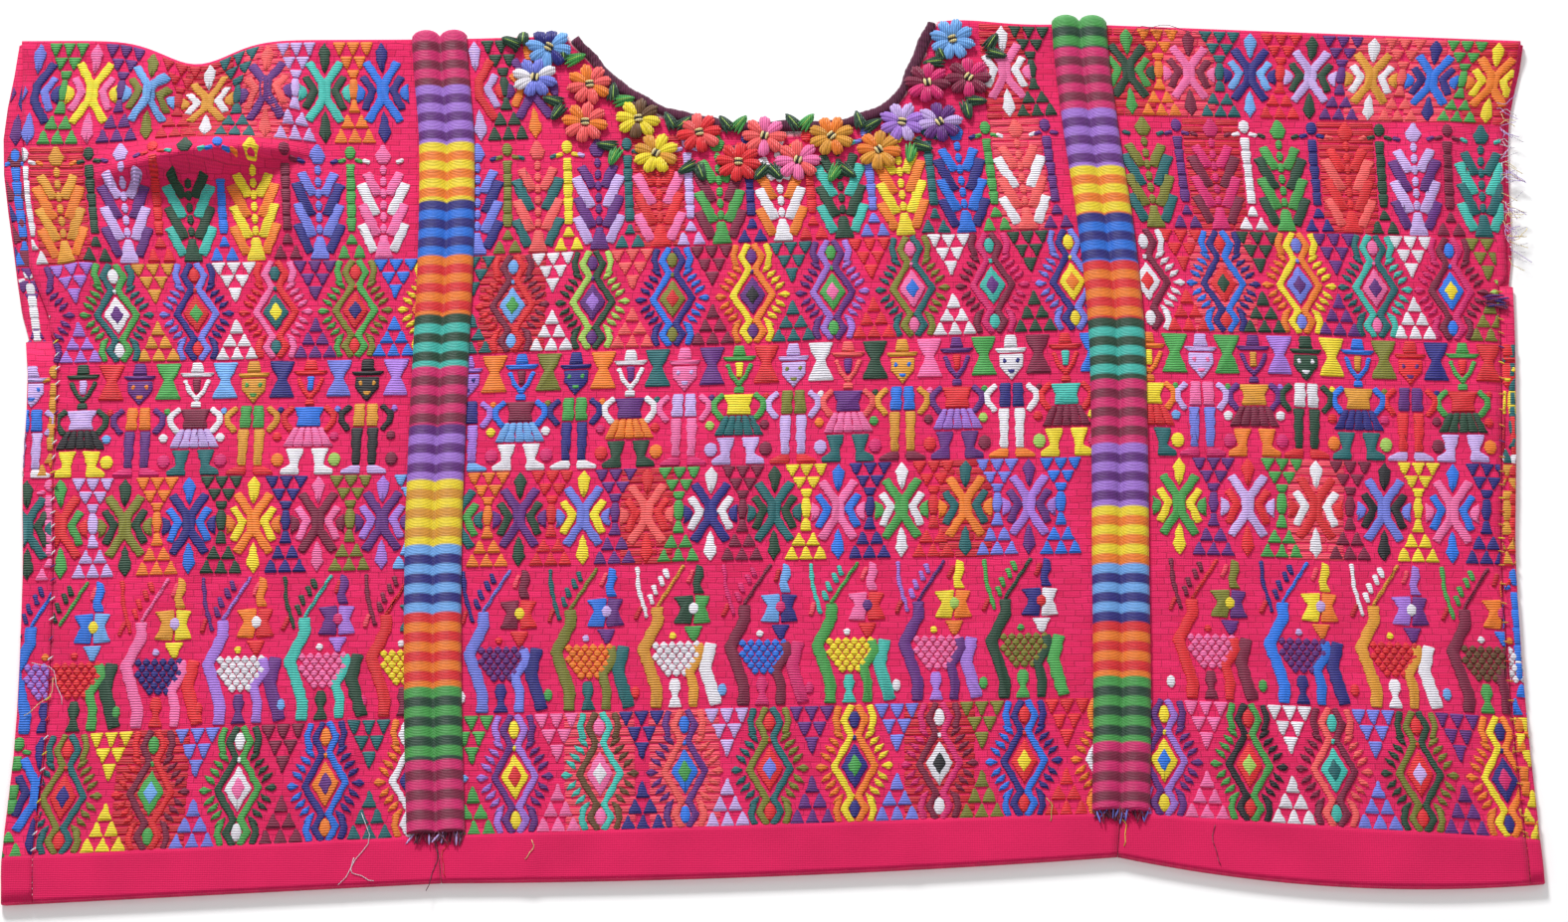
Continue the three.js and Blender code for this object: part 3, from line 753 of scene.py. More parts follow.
def make_randa(seam, west, east, name, node):
    lines = randa_rings(seam, west)
    rings = [(line, 0.0) for line in lines]
    rings += [(SHOULDER, math.pi * k / 12) for k in range(1, 7)]
    across = 2 * ROLL_STEPS + 1
    around = 2 * across
    shape, verts = grid(around, len(rings))
    dye = dye_layer(shape)
    places = np.linspace(-0.5, 0.5, across)
    offsets = np.concatenate([places, places[::-1]])
    crown = np.abs(np.sin(np.pi * np.linspace(0, 2, across))) ** ROLL_FULLNESS
    points = np.zeros((len(rings), around, 3))
    for j, (line, bend) in enumerate(rings):
        x = along(EDGES[seam]["x"], line) + offsets * RANDA_WIDTH
        swell = 1 + STRIPE_SWELL * math.sin(2 * math.pi * j / RINGS)
        rise = GAP + RANDA_RIM + (RANDA_HEIGHT - RANDA_RIM) * crown * swell
        lift = np.concatenate([rise, np.full(across, GAP - PILE)])
        near = front_points(west, line, x, lift, bend)
        far = front_points(east, line, x, lift, bend)
        points[j] = np.where((offsets < 0)[:, None], near, far)
        middle_y = line_y(west, line, along(EDGES[seam]["x"], line)) + FOLD_DEPTH * math.sin(bend)
        thread = THREADS[stripe_at(seam, float(middle_y))]
        for vert in verts[j]:
            vert[dye] = (*thread, 1.0)
    move(verts, points)
    bmesh.ops.bridge_loops(shape, edges=[e for i in (0, -1) for e in ring_edges(verts[:, i])])
    bmesh.ops.holes_fill(shape, edges=[e for e in shape.edges if e.is_boundary], sides=0)
    bmesh.ops.recalc_face_normals(shape, faces=shape.faces)
    piece = finish_piece(shape, name, RANDA_FLOSS)
    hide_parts(node)
    print(piece.name, triangles(piece), "triangles")
    return piece


def ring_edges(verts):
    """The edges between neighbours in a list of vertices"""
    return [edge for a, b in zip(verts, verts[1:]) for edge in a.link_edges if edge.other_vert(a) == b]


left_rolls = make_randa("left seam", "left", "centre", "left_rolls", "left_randa")
right_rolls = make_randa("right seam", "centre", "right", "right_rolls", "right_randa")

# %% [markdown]
# ## The neck edging
#
# Plum thread is oversewn round the cut edge of the neck. It is a soft, uneven welt, so it is made as a tube
# round a flat section, with a ripple for each stitch and a slow scallop along the neck.

# %% The neck edging
EDGING_RISE = 1.4
STITCH_RIPPLE = 0.18
WELT_SECTION = [(0, 0), (0, 0.5), (0.2, 1), (0.5, 1.25), (0.8, 1), (1, 0.4), (1, 0), (0.5, 0)]


def make_edging(on_front):
    points, normals = neckline(240)
    on_cloth = points[:, 1] < line_y("centre", SHOULDER, points[:, 0]) + FOLD_DEPTH / 2
    points, normals = points[on_cloth], normals[on_cloth]
    shape, verts = grid(len(WELT_SECTION), len(points))
    dye = dye_layer(shape)
    made = np.zeros((*verts.shape, 3))
    rng = random.Random(5)
    for j, (point, normal) in enumerate(zip(points, normals)):
        ripple = STITCH_RIPPLE * (j % 3 - 1)
        scallop = 0.7 * math.sin(j / 6.5) + 0.35 * math.sin(j / 2.7) + 0.35 * rng.random()
        share_dye = 0.8 + 0.4 * rng.random()
        for i, (share, crown) in enumerate(WELT_SECTION):
            at = point + normal * (share * EDGING_WIDTH + (scallop - 0.4) * (1 - share))
            if on_front:
                x, y = at
                flat_y = min(y, line_y("centre", SHOULDER, x))
                top = front_top("centre", HEM_LINE, x, flat_y)
                z = top - LAYER + (LAYER + (EDGING_RISE + ripple) * min(crown, 1) - 0.2) * min(crown * 2, 1)
            else:
                z = LAYER * min(crown * 2, 1)
            made[j, i] = [at[0], at[1], z]
            verts[j, i][dye] = (*(c * share_dye for c in THREADS["plum"]), 1.0)
    move(verts, made)
    bmesh.ops.bridge_loops(shape, edges=[e for i in (0, -1) for e in ring_edges(verts[:, i])])
    bmesh.ops.holes_fill(shape, edges=[e for e in shape.edges if e.is_boundary], sides=0)
    bmesh.ops.recalc_face_normals(shape, faces=shape.faces)
    side = "front" if on_front else "back"
    piece = finish_piece(shape, f"neck_welt_{side}", EDGING_FLOSS)
    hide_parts(f"neck_edging_{side}")
    print(piece.name, triangles(piece), "triangles")
    return piece


front_welt = make_edging(True)
back_welt = make_edging(False)

# %% [markdown]
# ## The neck flowers
#
# The flowers are worked in long loops of floss, three to a petal, over the cloth. Each loop is a slender
# rounded spindle, made from a sphere that is stretched and laid along the petal. Two pale stitches make the
# eye, over a black loop that is painted shade for the dark slit between them. Leaves are pairs of loops in
# dark green, each with a thin pale loop along its middle as a painted highlight.

# %% Flowers and leaves
FLOWERS = [
    {"x": -120, "y": 233, "threads": ("sky", "navy")},
    {"x": -127, "y": 216, "threads": ("periwinkle", "white")},
    {"x": -99, "y": 212, "threads": ("salmon", "orange")},
    {"x": -101, "y": 190, "threads": ("salmon", "orange")},
    {"x": -74, "y": 192, "threads": ("yellow", "brown")}, {"x": -65, "y": 172, "threads": ("yellow", "gold")},
    {"x": -43, "y": 184, "threads": ("red", "salmon")}, {"x": -23, "y": 167, "threads": ("red", "red")},
    {"x": -10, "y": 182, "threads": ("salmon", "pink")}, {"x": 7, "y": 168, "threads": ("pink", "salmon")},
    {"x": 24, "y": 182, "threads": ("gold", "orange")}, {"x": 48, "y": 174, "threads": ("gold", "orange")},
    {"x": 60, "y": 190, "threads": ("lilac", "lavender")},
    {"x": 79, "y": 190, "threads": ("purple", "lavender")},
    {"x": 73, "y": 213, "threads": ("magenta", "burgundy")},
    {"x": 94, "y": 216, "threads": ("burgundy", "magenta")},
    {"x": 86, "y": 238, "threads": ("sky", "sky")},
]
LEAF_PAIRS = [
    {"x": -134, "y": 234, "turn": 120}, {"x": -112, "y": 225, "turn": 60}, {"x": -112, "y": 201, "turn": 200},
    {"x": -87, "y": 202, "turn": 50}, {"x": -84, "y": 176, "turn": 210}, {"x": -55, "y": 186, "turn": 80},
    {"x": -44, "y": 167, "turn": 250}, {"x": -26, "y": 185, "turn": 90}, {"x": -8, "y": 166, "turn": 270},
    {"x": 8, "y": 186, "turn": 90}, {"x": 28, "y": 166, "turn": 280}, {"x": 40, "y": 186, "turn": 70},
    {"x": 65, "y": 178, "turn": 300}, {"x": 92, "y": 203, "turn": 320}, {"x": 82, "y": 226, "turn": 150},
    {"x": 103, "y": 232, "turn": 20},
]
PETALS = 8
SECOND_PETALS = (0, 1, 5)  # the petals in a flower's second thread
PETAL_FROM = 2.4
PETAL_TO = 11.4
PETAL_LOOPS = ((-0.25, 0.92, 1.1), (0.25, 0.92, 1.1), (0, 1.0, 1.35))  # turn, share of the reach, height
LOOP_WIDTH = 3.3
EYE_APART = 1.25
LEAF_LENGTH = 11
LEAF_SPREAD = 38
LEAF_LOOPS = ((-1.9, 0.7), (1.9, 0.7), (-0.7, 1.2), (0.7, 1.2))  # place across the leaf, height


def spindle(shape, dye, x, y, turn, length, width, lift, thread, high):
    """One loop of floss: a stretched sphere laid on the neck, pointing along turn"""
    made = bmesh.ops.create_uvsphere(shape, u_segments=8, v_segments=7, radius=1.0)
    verts = made["verts"]
    local = np.array([v.co for v in verts])
    along_it = local[:, 2] * length / 2
    across = local[:, 0] * width / 2 * (1 + 0.25 * local[:, 2])
    up = local[:, 1] * high
    at_x = x + along_it * math.cos(turn) - across * math.sin(turn)
    at_y = y + along_it * math.sin(turn) + across * math.cos(turn)
    for vert, point in zip(verts, metres(over_neck(at_x, at_y, lift + up))):
        vert.co = point
        vert[dye] = (*thread, 1.0)


def tinted(name, rng, spread=0.12):
    glow = 1 + spread * (2 * rng.random() - 1)
    return tuple(min(1.0, c * glow) for c in THREADS[name])


def make_petal(shape, dye, flower, angle, name, rng):
    """Three loops of floss side by side"""
    for off, reach, high in PETAL_LOOPS:
        tip = PETAL_FROM + (PETAL_TO - PETAL_FROM) * reach * (0.94 + 0.1 * rng.random())
        middle = (PETAL_FROM + tip) / 2
        turn = angle + off * 0.75
        spindle(shape, dye, flower["x"] + middle * math.cos(turn), flower["y"] + middle * math.sin(turn),
                angle + off * 0.35, tip - PETAL_FROM + 1.2, LOOP_WIDTH, high, tinted(name, rng), 1.35)


def make_flowers():
    rng = random.Random(11)
    shape = bmesh.new()
    dye = dye_layer(shape)
    for flower in FLOWERS:
        start = rng.random() * math.pi
        for k in range(PETALS):
            name = flower["threads"][1 if k in SECOND_PETALS else 0]
            make_petal(shape, dye, flower, start + 2 * math.pi * k / PETALS, name, rng)
        eye = rng.random() * math.pi
        # a black loop under the eye's two stitches: painted shade for the dark slit between them
        spindle(shape, dye, flower["x"], flower["y"], eye, 4.6, 2.2, 1.9, THREADS["black"], 0.7)
        for side in (-EYE_APART, EYE_APART):
            x, y = flower["x"] - side * math.sin(eye), flower["y"] + side * math.cos(eye)
            spindle(shape, dye, x, y, eye, 4.4, 1.5, 2.3, tinted("cream", rng), 0.8)
    return finish_piece(shape, "neck_flowers", FLOWER_FLOSS)


def make_leaves():
    rng = random.Random(12)
    shape = bmesh.new()
    dye = dye_layer(shape)
    for pair in LEAF_PAIRS:
        for side in (-1, 1):
            turn = math.radians(pair["turn"] + side * LEAF_SPREAD)
            x = pair["x"] + LEAF_LENGTH / 2 * math.cos(turn)
            y = pair["y"] + LEAF_LENGTH / 2 * math.sin(turn)
            name = rng.choice(["bottle", "bottle", "green"])
            for across, high in LEAF_LOOPS:
                length = LEAF_LENGTH * (1.1 - 0.09 * abs(across) + 0.1 * rng.random())
                spindle(shape, dye, x - across * math.sin(turn), y + across * math.cos(turn),
                        turn - across * 0.12, length, 2.0, high, tinted(name, rng, 0.3), 1.1)
            # a thin pale loop along the leaf's middle: a painted highlight
            spindle(shape, dye, x, y, turn, LEAF_LENGTH * 0.75, 0.6, 2.0, tinted("lime", rng), 0.4)
    return finish_piece(shape, "neck_leaves", FLOWER_FLOSS)


neck_flowers = make_flowers()
neck_leaves = make_leaves()
print("Flowers and leaves:", triangles(neck_flowers) + triangles(neck_leaves), "triangles")

# %% [markdown]
# ## Brocade
#
# While the cloth is on the loom, the weaver lays coloured threads in by hand over a few warps at a time, back
# and forth, so each patch of colour becomes a small satin pad above the plain weave. A patch is drawn here as
# a flat outline, in millimetres across and in shares of its row's height up the cloth. Brocade collects the
# outlines of one row. Its methods draw the few shapes that all motifs are made of.

# %% The shapes that motifs are made of
PAD_RISE = 0.85  # how high a pad stands above the plain weave
PAD_ROOT = 0.25  # how deep it goes in
PAD_CROWN = 0.45  # how much of its height is rounded
SEAM_COVER = 11  # brocade under this half width of a randa isn't made
WANDER = 0.22  # how far an edge strays
UNDER_SHARE = 0.55  # on the underside the brocade is pressed flat
STACKED = 3  # triangles in the widest row of a stack


class Brocade:
    """The outlines of one row of brocade on one length"""

    def __init__(self, name, line, height, front, clip, seed):
        self.name, self.line, self.height, self.front, self.clip = name, line, height, front, clip
        self.rng = random.Random(seed)
        self.inside = None
        self.pads = []
        self.middle = 0.0
        self.flip = 1

    def block(self, places, thread, lift=0.0, twin=False):
        """A polygon of places (mm from the motif's middle, share), and its mirror image if it has a twin"""
        outline = [(self.middle + self.flip * x, share * self.height) for x, share in places]
        self.pads.append((outline, thread, lift))
        if twin:
            self.block([(-x, share) for x, share in places], thread, lift)

    def oval(self, place, width, height, thread, lift=0.0, twin=False):
        x, share = place
        ring = [2 * math.pi * k / 8 for k in range(8)]
        places = [(x + width / 2 * math.sin(a), share + height / 2 * math.cos(a)) for a in ring]
        self.block(places, thread, lift, twin)

    def band(self, places, width, thread, lift=0.0, twin=False):
        """A band of even width along places, mitred where it turns"""
        line = np.array([(x, share * self.height) for x, share in places])
        step = np.diff(line, axis=0)
        step /= np.linalg.norm(step, axis=1)[:, None]
        ways = np.vstack([step[:1], step[:-1] + step[1:], step[-1:]])
        ways /= np.linalg.norm(ways, axis=1)[:, None]
        turn = np.concatenate([[1], np.clip((ways[1:-1] * step[1:]).sum(axis=1), 0.6, 1), [1]])
        side = np.stack([-ways[:, 1], ways[:, 0]], axis=1) * (width / 2 / turn)[:, None]
        outline = [*(line + side), *(line - side)[::-1]]
        self.block([(x, y / self.height) for x, y in outline], thread, lift, twin)

    def stack(self, pitch, width, heights, top, thread, upright):
        """Rows of small triangles, STACKED in the first and one fewer in each next"""
        share = top
        sign = 1 if upright else -1
        for count, height in zip(range(STACKED, 0, -1), heights):
            tip = share + sign * height * 0.92
            for k in range(count):
                at = pitch * (k - (count - 1) / 2)
                west, east = at - width / 2, at + width / 2
                self.block([(west, share), (east, share), (at + 0.5, tip), (at - 0.5, tip)], thread)
            share += sign * height


# %% [markdown]
# Each motif takes the collector and its threads. The names are what the shapes look like: crosses and
# hourglasses, serrated diamonds, plants and small trees, people hand in hand, deer and birds.

# %% Crosses, hourglasses and diamonds
def cross(weave, first, second):
    weave.band([(8.2, 0.81), (1.0, 0.60), (0.9, 0.44), (8.2, 0.22)], 4.4, first, twin=True)
    weave.band([(10, 0.67), (5.2, 0.53), (9.6, 0.34)], 3.9, second, twin=True)
    weave.block([(13.2, 0.60), (9.6, 0.555), (8.6, 0.51), (9.6, 0.45), (13.2, 0.40)], first, twin=True)
    weave.block([(0, 0.99), (3.3, 0.90), (1.6, 0.76), (0, 0.70), (-1.6, 0.76), (-3.3, 0.90)], second)
    weave.block([(0, 0.33), (1.5, 0.27), (3.3, 0.11), (0, 0.01), (-3.3, 0.11), (-1.5, 0.27)], second)


def hourglass(weave, thread):
    weave.stack(7.0, 7.0, (0.13, 0.125), 0.99, thread, False)
    weave.block([(-3.2, 0.735), (3.2, 0.735), (1.7, 0.655), (-1.7, 0.655)], thread)
    waist = [(-1.5, 0.645), (1.5, 0.645), (2.6, 0.545), (1.5, 0.445), (-1.5, 0.445), (-2.6, 0.545)]
    weave.block(waist, thread)
    weave.block([(-3.0, 0.31), (3.0, 0.31), (1.2, 0.435), (-1.2, 0.435)], thread)
    weave.stack(7.0, 7.0, (0.14, 0.14), 0.02, thread, True)


def diamond(weave, left, right, ring, heart):
    zigzag = [(1.3, 0.99), (5.2, 0.86), (1.6, 0.73), (9.9, 0.475), (1.6, 0.225), (5.2, 0.12), (1.3, 0.01)]
    for side, first, second in ((-1, left, right), (1, right, left)):
        weave.flip = side
        weave.band(zigzag, 3.2, first)
        weave.band([(7.3, 0.985), (9.2, 0.88), (7.6, 0.765)], 3.1, second)
        weave.band([(7.3, 0.015), (9.2, 0.11), (7.6, 0.205)], 3.1, second)
        for x, rise in ((6.6, 0.255), (8.6, 0.195), (10.6, 0.135), (12.6, 0.075)):
            for up in (1, -1):
                share = 0.475 + up * rise
                weave.block([(x - 1.6, share - up * 0.036), (x + 2.4, share + up * 0.002),
                             (x + 4.0, share + up * 0.052), (x - 0.6, share + up * 0.026)], second)
        weave.block([(12.4, 0.475), (16.6, 0.44), (19.0, 0.475), (16.6, 0.51)], second)
        weave.flip = 1
    for share in (0.865, 0.12):
        weave.oval((0, share), 5.4, 0.155, ring)
    weave.block([(0, 0.665), (6.6, 0.475), (0, 0.285), (-6.6, 0.475)], ring)
    weave.block([(0, 0.575), (3.6, 0.475), (0, 0.375), (-3.6, 0.475)], heart, 0.35)
    weave.block([(-1.6, 0.735), (1.6, 0.735), (0.7, 0.69), (-0.7, 0.69)], ring)


def steps(weave, thread):
    """The stacked triangles between two diamonds"""
    weave.stack(7.3, 7.1, (0.13, 0.13, 0.15), 0.99, thread, False)
    weave.stack(7.3, 7.1, (0.13, 0.13, 0.15), 0.01, thread, True)


# %% [markdown]
# A plant has four pairs of leaves and a tree only a trunk and two roots. The figures hold hands by a row of
# balls, whose threads are drawn at random, because they follow no order in the cloth either.

# %% Plants, trees and people
def plant(weave, first, second=None):
    second = second or first
    weave.band([(3.6, 0.20), (10.6, 0.475)], 5.3, first, twin=True)
    weave.band([(4.8, 0.06), (11.2, 0.30)], 4.9, second, twin=True)
    weave.band([(3.8, 0.38), (11.2, 0.655)], 5.3, second, twin=True)
    weave.band([(2.6, 0.555), (8.4, 0.75)], 4.8, first, twin=True)
    weave.block([(0.7, 1.0), (4.2, 0.90), (2.2, 0.83), (-2.2, 0.83), (-4.2, 0.90), (-0.7, 1.0)], first)
    weave.band([(6.5, 0.84), (10.2, 0.865)], 2.2, second, twin=True)
    for k in range(6):
        weave.oval((0, 0.775 - 0.103 * k), 3.6, 0.092, first)
    weave.block([(-1.7, 0.20), (1.7, 0.20), (5, 0.005), (-5, 0.005)], first)


def tree(weave, thread):
    weave.oval((0, 0.93), 5.6, 0.12, thread)
    weave.band([(2.2, 0.87), (6.2, 0.85)], 2.2, thread, twin=True)
    for k in range(5):
        top = 0.83 - 0.118 * k
        weave.block([(-2.3, top), (2.3, top), (2.0, top - 0.116), (-2.0, top - 0.116)], thread)
    weave.block([(-3, 0.13), (3, 0.13), (0.8, 0.215), (-0.8, 0.215)], thread)
    weave.block([(0.6, 0.01), (7.4, 0.01), (4.4, 0.12), (3.4, 0.12)], thread, twin=True)


def small_hourglass(weave, thread):
    weave.block([(-6.4, 0.98), (6.4, 0.98), (4.6, 0.90), (2.2, 0.83), (4.6, 0.745),
                 (6.4, 0.67), (-6.4, 0.67), (-4.6, 0.745), (-2.2, 0.83), (-4.6, 0.90)], thread)
    weave.oval((0, 0.56), 3.2, 0.06, thread)


BALLS = [
    "lavender", "orange", "magenta", "white", "lime", "purple", "sky", "burgundy", "green", "yellow", "red",
]


def arms(weave, thread):
    weave.band([(7.6, 0.585), (12.2, 0.52), (12.0, 0.455), (8.2, 0.375)], 3.1, thread, twin=True)
    weave.oval((12.9, 0.33), 4.8, 0.08, weave.rng.choice(BALLS))
    weave.oval((13.6, 0.13), 6.6, 0.12, weave.rng.choice(BALLS))


def girl(weave, head, torso, skirt, boots):
    weave.block([(-3.4, 0.90), (3.4, 0.90), (2.4, 0.985), (-2.4, 0.985)], head)
    weave.block([(-8.6, 0.895), (8.6, 0.895), (6.6, 0.86), (-6.6, 0.86)], head)
    weave.band([(-6, 0.835), (-3.4, 0.73), (0, 0.665), (3.4, 0.73), (6, 0.835)], 2.2, head)
    weave.block([(-1.9, 0.845), (1.9, 0.845), (1.5, 0.725), (-1.5, 0.725)], torso)
    weave.block([(-2.1, 0.645), (2.1, 0.645), (2.6, 0.595), (-2.6, 0.595)], head)
    weave.block([(-7.6, 0.58), (7.6, 0.58), (5.2, 0.49), (6.2, 0.415), (-6.2, 0.415), (-5.2, 0.49)], torso)
    for k in range(5):
        top = -6 + 3.0 * k
        low = -11.5 + 5.0 * k
        weave.block([(top - 1.4, 0.405), (top + 1.4, 0.405), (low + 4.1, 0.245), (low - 0.7, 0.245)], skirt)
    boot = [(1.6, 0.225), (10.6, 0.225), (8.2, 0.09), (13, 0.045), (13, 0.005), (3.6, 0.005), (4.0, 0.10)]
    weave.block(boot, boots, twin=True)
    arms(weave, head)


def boy(weave, first, second, legs=None):
    legs = legs or first
    weave.block([(-3.6, 0.885), (3.6, 0.885), (2.6, 0.985), (-2.6, 0.985)], first)
    weave.block([(-8.2, 0.88), (8.2, 0.88), (6.4, 0.845), (-6.4, 0.845)], first)
    weave.block([(-6, 0.83), (6, 0.83), (6, 0.74), (0, 0.62), (-6, 0.74)], first)
    weave.oval((3.3, 0.775), 2.4, 0.05, second, 0.3, twin=True)
    weave.block([(-2.2, 0.705), (2.2, 0.705), (1.3, 0.67), (-1.3, 0.67)], second, 0.3)
    weave.block([(0.5, 0.60), (5.6, 0.60), (6.2, 0.41), (0.5, 0.41)], second, twin=True)
    weave.block([(1.2, 0.395), (6.6, 0.395), (5.8, 0.08), (2.0, 0.08)], legs, twin=True)
    foot = [(1.8, 0.075), (6.2, 0.075), (11.4, 0.035), (11.4, 0.005), (1.8, 0.005)]
    weave.block(foot, weave.rng.choice(BALLS), twin=True)
    arms(weave, first)


print(len(BALLS), "threads for the balls")

# %% [markdown]
# The deer look left. Each has two antlers, a body of small lozenges and legs in both threads. Birds sit
# between the deer, at the same height.

# %% Deer and birds
def deer(weave, first, second, body=None):
    weave.middle += 5.0
    weave.band([(-13.7, 0.70), (-0.4, 0.986)], 1.7, first)
    weave.band([(-18.6, 0.63), (-22.6, 0.83), (-23.4, 0.985)], 2.0, second)
    for x, share in ((-9.0, 0.93), (-11.5, 0.88), (-14.7, 0.82), (-16.5, 0.756)):
        weave.block([(x - 2.0, share + 0.032), (x + 0.4, share + 0.037), (x + 2.0, share - 0.032),
                     (x - 0.4, share - 0.037)], second)
    foreleg = [(-13.5, 0.70), (-13.3, 0.60), (-20.5, 0.41), (-16.8, 0.26), (-14.0, 0.13), (-14.5, 0.01)]
    weave.band(foreleg, 5.6, first)
    for k, count in enumerate((6, 5, 6, 5, 4, 3)):
        for i in range(count):
            x = -4.4 + 4.0 * (i - (count - 1) / 2)
            share = 0.435 - 0.038 * k
            lozenge = [(x - 2.1, share), (x, share + 0.03), (x + 2.1, share), (x, share - 0.03)]
            weave.block(lozenge, body or second)
    weave.block([(-7, 0.205), (-3.4, 0.205), (-2.2, 0.145), (-3.9, 0.09),
                 (-1.6, 0.01), (-8.8, 0.01), (-6.5, 0.09), (-8.2, 0.145)], second)
    weave.band([(6.1, 0.44), (7.6, 0.36), (1.8, 0.25), (4.1, 0.14), (3.6, 0.01)], 4.6, first)
    weave.band([(12.6, 0.44), (9.6, 0.27), (14.8, 0.02)], 6.0, second)
    weave.oval((-24.5, 0.12), 4.4, 0.09, weave.rng.choice(BALLS))
    weave.oval((-6.0, 0.50), 3.6, 0.05, weave.rng.choice(BALLS))
    for x, share in ((-24, 0.62), (1.5, 0.86)):
        weave.band([(x, share), (x + 2.4, share + 0.09)], 2.2, weave.rng.choice(("crimson", "rose")))


def bird(weave, first, second=None):
    second = second or first
    weave.middle -= 12.2
    weave.block([(1.4, 0.99), (4.6, 0.97), (5.4, 0.91), (3.4, 0.85),
                 (5.4, 0.785), (0.4, 0.785), (-0.4, 0.85), (0.6, 0.91)], first)
    weave.block([(0, 0.775), (-9.6, 0.765), (-6, 0.69), (-9.6, 0.585), (-1, 0.575), (-0.4, 0.64)], first)
    weave.block([(0.8, 0.775), (8.4, 0.765), (5.8, 0.685), (8.8, 0.585), (0.2, 0.575), (0.3, 0.64)], second)
    weave.oval((0.2, 0.68), 5.2, 0.085, weave.rng.choice(BALLS), 0.35)
    weave.block([(-4.6, 0.56), (4.6, 0.56), (1.2, 0.46), (-0.8, 0.46)], second)


print("Motifs are ready")

# %% [markdown]
# The threads change from one motif to the next, as the weaver pleased, so they can't be worked out by a rule.
# Each row lists them from left to right for each length. Slashes part the threads of one motif. A row also
# has the place of its first motif and the distance between two, in millimetres, because the weaver's count
# differs a little from length to length.

